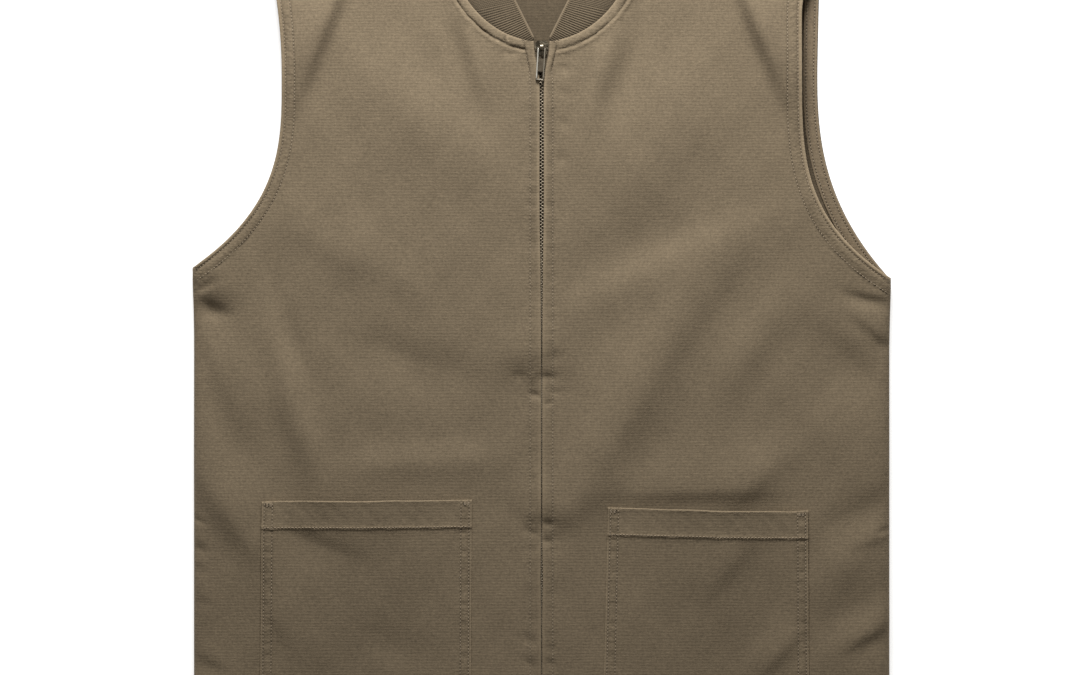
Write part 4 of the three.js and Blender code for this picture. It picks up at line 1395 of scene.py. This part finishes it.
def collar_back(seam_start):
    angle = np.linspace(0.0, math.pi / 2, COLLAR_COUNTS["back"])
    seam_y = seam_start[1] - (BACK_NECK_DROP + COLLAR_OVERLAP) * np.sin(angle)
    free_y = mix(COLLAR_CORNER[1], COLLAR_TOP_Y, np.sin(angle))
    seam = joined(seam_start[0] * np.cos(angle), seam_y, COLLAR_BACK_Z)
    return seam, joined(COLLAR_CORNER[0] * np.cos(angle), free_y, COLLAR_BACK_Z)


def rib_phase_front(x, y):
    """Length along the free edge at which the rib through a point starts."""
    run = np.subtract(COLLAR_CORNER, COLLAR_TIP)
    run = run / np.hypot(*run)
    q = (x - COLLAR_TIP[0]) * run[0] + (y - COLLAR_TIP[1]) * run[1]
    for _ in range(RIB_ROUNDS):
        slope = np.radians(np.interp(q, RIB_SLOPES["along"], RIB_SLOPES["degrees"]))
        off_x = x - COLLAR_TIP[0] - run[0] * q
        off_y = y - COLLAR_TIP[1] - run[1] * q
        miss = off_y * np.cos(slope) - off_x * np.sin(slope)
        q = q + RIB_DAMPING * miss / (run[1] * np.cos(slope) - run[0] * np.sin(slope))
    return q


def collar_half():
    front = collar_front()
    turn = collar_turn(front[0][-1], front[1][-1])
    back = collar_back(front[0][-1])
    seam, free = (np.concatenate(parts) for parts in zip(front, turn, back))
    return seam, free


def mirrored(half):
    return np.concatenate([half, half[:-1][::-1]])


def collar_share():
    return np.concatenate([COLLAR_FREE_RIM, np.linspace(*COLLAR_EVEN), COLLAR_SEAM_RIM])


def rib_phases(mid, free):
    steps = np.linalg.norm(np.diff(free, axis=0), axis=1)
    length = np.concatenate([[0.0], np.cumsum(steps)])
    phase = np.repeat(length[:, None], mid.shape[1], axis=1)
    fronts = COLLAR_COUNTS["front"]
    phase[:fronts] = rib_phase_front(mid[:fronts, :, 0], mid[:fronts, :, 1])
    return phase


def build_collar():
    seam, free = collar_half()
    share = collar_share()
    mid = mix(free[:, None, :], seam[:, None, :], share[None, :, None])
    phase = mirrored(rib_phases(mid, free))
    wide = mirrored(np.linalg.norm(seam - free, axis=1)[:, None])
    from_free = share * wide
    from_seam = (1.0 - share) * wide
    mid = mirrored(mid)
    mid[len(free):, :, 0] *= -1.0
    ridge = 0.5 - 0.5 * np.cos(2 * math.pi * phase / RIB_PITCH)
    shown = smoothstep(*RIBS_START, from_free)
    lift = RIB_HEIGHT * (ridge - 0.5) * shown + relief(from_free, COLLAR_RIM)
    tip_shade = COLLAR_TIP_SHADE * (1.0 - smoothstep(*COLLAR_TIP_WIDTHS, wide))
    # Painted rib shading, crests light and hollows dark; the free edge lightened for wear and a painted
    # highlight; painted shade at the seam and tip
    values = dict(
        rib=ridge * shown + (1.0 - shown) * COLLAR_RIM_TONE,
        wear=1.0 - smoothstep(*COLLAR_WEAR_AND_HIGHLIGHT, from_free),
        groove=clamped(relief(from_seam, COLLAR_SEAM_SHADE) + tip_shade * shown),
    )
    collar = sheet_object("collar_knit", mid, RIB, rib_material, extra=lift, under=lift, values=values)
    place_piece(collar, "rib_knit", "collar_rib")


# Seams where front and back are sewn together
def build_seams(side):
    row = ARMHOLES[f"front_{side}"]
    y = np.arange(HEM_Y + SEAM_INSET, row.corner_y - SEAM_INSET, SEAM_STEP)
    t = np.linspace(*SEAM_SHARES)
    plans = {
        "side": (side_x(row, y) - SEAM_INSET, y),
        "shoulder": (mix(NECK_X, row.tip_x, t), mix(NECK_Y, SHOULDER_TIP_Y, t)),
    }
    for name, (x, y) in plans.items():
        path = joined(row.side * x, y, CANVAS + GAP / 2)
        place_piece(tube_object(f"{name}_seam_{side}", path, SEAM_RADIUS, canvas_material), "canvas")


# Zip
def build_tape(side, sign):
    x = np.concatenate([TAPE_X[0] + TAPE_RIM, np.linspace(*TAPE_COLUMNS), TAPE_X[1] - TAPE_RIM[::-1]])
    rows = np.arange(TEETH_FROM_Y + TAPE_ROWS["first"], TEETH_TO_Y - TAPE_ROWS["last"], TAPE_ROWS["pitch"])
    y = np.concatenate([TEETH_FROM_Y + RIM_STEPS, rows, TEETH_TO_Y - RIM_STEPS[::-1]])
    grid_x, grid_y = np.meshgrid(x[::sign], y)
    mid = joined(sign * grid_x, grid_y, TEETH_Z)
    bead = relief(grid_x, TAPE_BEAD)
    tape = sheet_object(f"zip_tape_{side}_cloth", mid, TAPE, tape_material, extra=bead, under=bead)
    place_piece(tape, "zip_tape", f"zip_tape_{side}")


def blunted(value):
    return np.sign(value) * np.abs(value) ** TOOTH_BLUNT


def tooth_template():
    """A blunt block with rounded edges, from rings of points and two end points."""
    up = np.linspace(-math.pi / 2, math.pi / 2, TOOTH_RINGS + 2)[1:-1, None]
    around = circle(TOOTH_SIDES)
    x = blunted(np.cos(up)) * blunted(np.cos(around))
    y = blunted(np.cos(up)) * blunted(np.sin(around))
    rings = joined(x, y, blunted(np.sin(up))).reshape(-1, 3)
    points = np.concatenate([rings, [[0, 0, -1], [0, 0, 1]]]) * TOOTH_HALF
    quads = ring_quads(TOOTH_RINGS, TOOTH_SIDES)
    low = fan(0, TOOTH_SIDES, len(rings))[:, [1, 0, 2]]
    high = fan(len(rings) - TOOTH_SIDES, TOOTH_SIDES, len(rings) + 1)
    return points, np.concatenate([quads[:, [0, 1, 2]], quads[:, [0, 2, 3]], low, high])


def build_teeth(side, sign):
    start = TEETH_FROM_Y + TOOTH_ENDS[0] + (TOOTH_PITCH / 2 if sign > 0 else 0.0)
    y = np.arange(start, TEETH_TO_Y - TOOTH_ENDS[1], TOOTH_PITCH)
    place = joined(sign * TOOTH_X, y, TEETH_Z)
    tangent = np.tile([1.0, 0.0, 0.0], (len(y), 1))
    points, faces = spread(tooth_template(), place, tangent)
    teeth = make_object(f"zip_teeth_{side}_metal", points, faces.tolist(), [teeth_material])
    place_piece(teeth, "zip_brass", f"zip_teeth_{side}")


def on_pull(x, y, z):
    """A point given in the plane of the pull, which leans to one side and droops."""
    lean_x = x * math.cos(PULL_LEAN) - y * math.sin(PULL_LEAN)
    lean_y = x * math.sin(PULL_LEAN) + y * math.cos(PULL_LEAN)
    turned_y = lean_y * math.cos(PULL_DROOP) - z * math.sin(PULL_DROOP) + BRIDGE_Y
    turned_z = lean_y * math.sin(PULL_DROOP) + z * math.cos(PULL_DROOP) + PULL_AXIS_Z
    return joined(lean_x, turned_y, turned_z)


def build_rails():
    """The pull's long edges and its end, in lit and shaded copies of one brass: a painted highlight on one
    rail and painted shade on the others.
    """
    along = np.linspace(*RAIL_Y, RAIL_POINTS)
    across = np.linspace(-RAIL_X, RAIL_X, RAIL_POINTS)
    rails = [
        ("left", RAIL_X, along, shaded_rail_material),
        ("right", -RAIL_X, along, highlit_rail_material),
        ("end", across, RAIL_Y[1], shaded_rail_material),
    ]
    for name, x, y, material in rails:
        path = on_pull(x, y, RAIL_LIFT)
        place_piece(tube_object(f"pull_rail_{name}", path, RAIL_RADIUS, material), "zip_brass", body="pull")


def finish_metal(node, material, bevel_width):
    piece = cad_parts[node]
    piece.data.materials.clear()
    piece.data.materials.append(material)
    bevel = piece.modifiers.new("soft_edges", "BEVEL")
    bevel.width = bevel_width * MM
    bevel.segments = 2
    bevel.limit_method = "ANGLE"


build_back()
for name, sign in (("left", 1), ("right", -1)):
    build_front(name)
    build_front_facing(name)
    build_back_facing(name)
    build_pocket(name)
    build_seams(name)
    build_tape(name, sign)
    build_teeth(name, sign)
build_collar()
build_rails()
finish_metal("zip_slider", brass_material, bevel_width=0.25)
finish_metal("zip_pull", plate_material, bevel_width=0.2)
finish_metal("zip_box", brass_material, bevel_width=0.5)


# Floor, light and camera
FLOOR_HALF = 6.0
FLOOR_Z = -0.0006
FLOOR_COLOURS = ((0.86, 0.86, 0.855), (0.9, 0.9, 0.895))
FLOOR_GLOW = 0.7
KEY_LIGHT = dict(place=(-0.04, 1.42, 0.635), target=(0.0, 0.05, 0.0), size=0.6, power=35.0)
SKY_COLOUR = (1.0, 0.99, 0.97, 1.0)
SKY_STRENGTH = 0.16
CAMERA_PLACE = (-0.00147, -0.00518, 2.6026)
CAMERA_LENS = 100.0
CAMERA_SENSOR = 36.0


def stage_floor():
    signs = [(-1, -1), (1, -1), (1, 1), (-1, 1)]
    corners = [(FLOOR_HALF * a, FLOOR_HALF * b, FLOOR_Z) for a, b in signs]
    mesh = bpy.data.meshes.new("floor")
    mesh.from_pydata(corners, [], [(0, 1, 2, 3)])
    material, tree, shader = new_material("pale_floor", roughness=0.9, specular=0.1)
    grain = noise(tree, (3, 3, 3), detail=2.0)
    colour_from(tree, shader, blend_colour(tree, grain, *FLOOR_COLOURS))
    shader.inputs["Emission Color"].default_value = (1.0, 1.0, 1.0, 1.0)
    shader.inputs["Emission Strength"].default_value = FLOOR_GLOW
    mesh.materials.append(material)
    link_object("floor", mesh)


def aim(thing, target):
    x, y, z = np.subtract(target, thing.location)
    thing.rotation_euler = (math.atan2(math.hypot(x, y), -z), 0.0, math.atan2(-x, y))


def area_light(name, place, target, size, power):
    data = bpy.data.lights.new(name, "AREA")
    data.shape = "DISK"
    data.size = size
    data.energy = power
    light = link_object(name, data)
    light.location = place
    aim(light, target)


def studio():
    area_light("key_light", **KEY_LIGHT)
    world = bpy.data.worlds.new("studio")
    bpy.context.scene.world = world
    world.use_nodes = True
    sky = world.node_tree.nodes["Background"]
    sky.inputs["Color"].default_value = SKY_COLOUR
    sky.inputs["Strength"].default_value = SKY_STRENGTH
    bpy.context.scene.view_settings.view_transform = "Standard"


def photo_camera():
    data = bpy.data.cameras.new("photo_camera")
    data.lens = CAMERA_LENS
    data.sensor_width = CAMERA_SENSOR
    camera = link_object("photo_camera", data)
    camera.location = CAMERA_PLACE
    bpy.context.scene.camera = camera


stage_floor()
studio()
photo_camera()
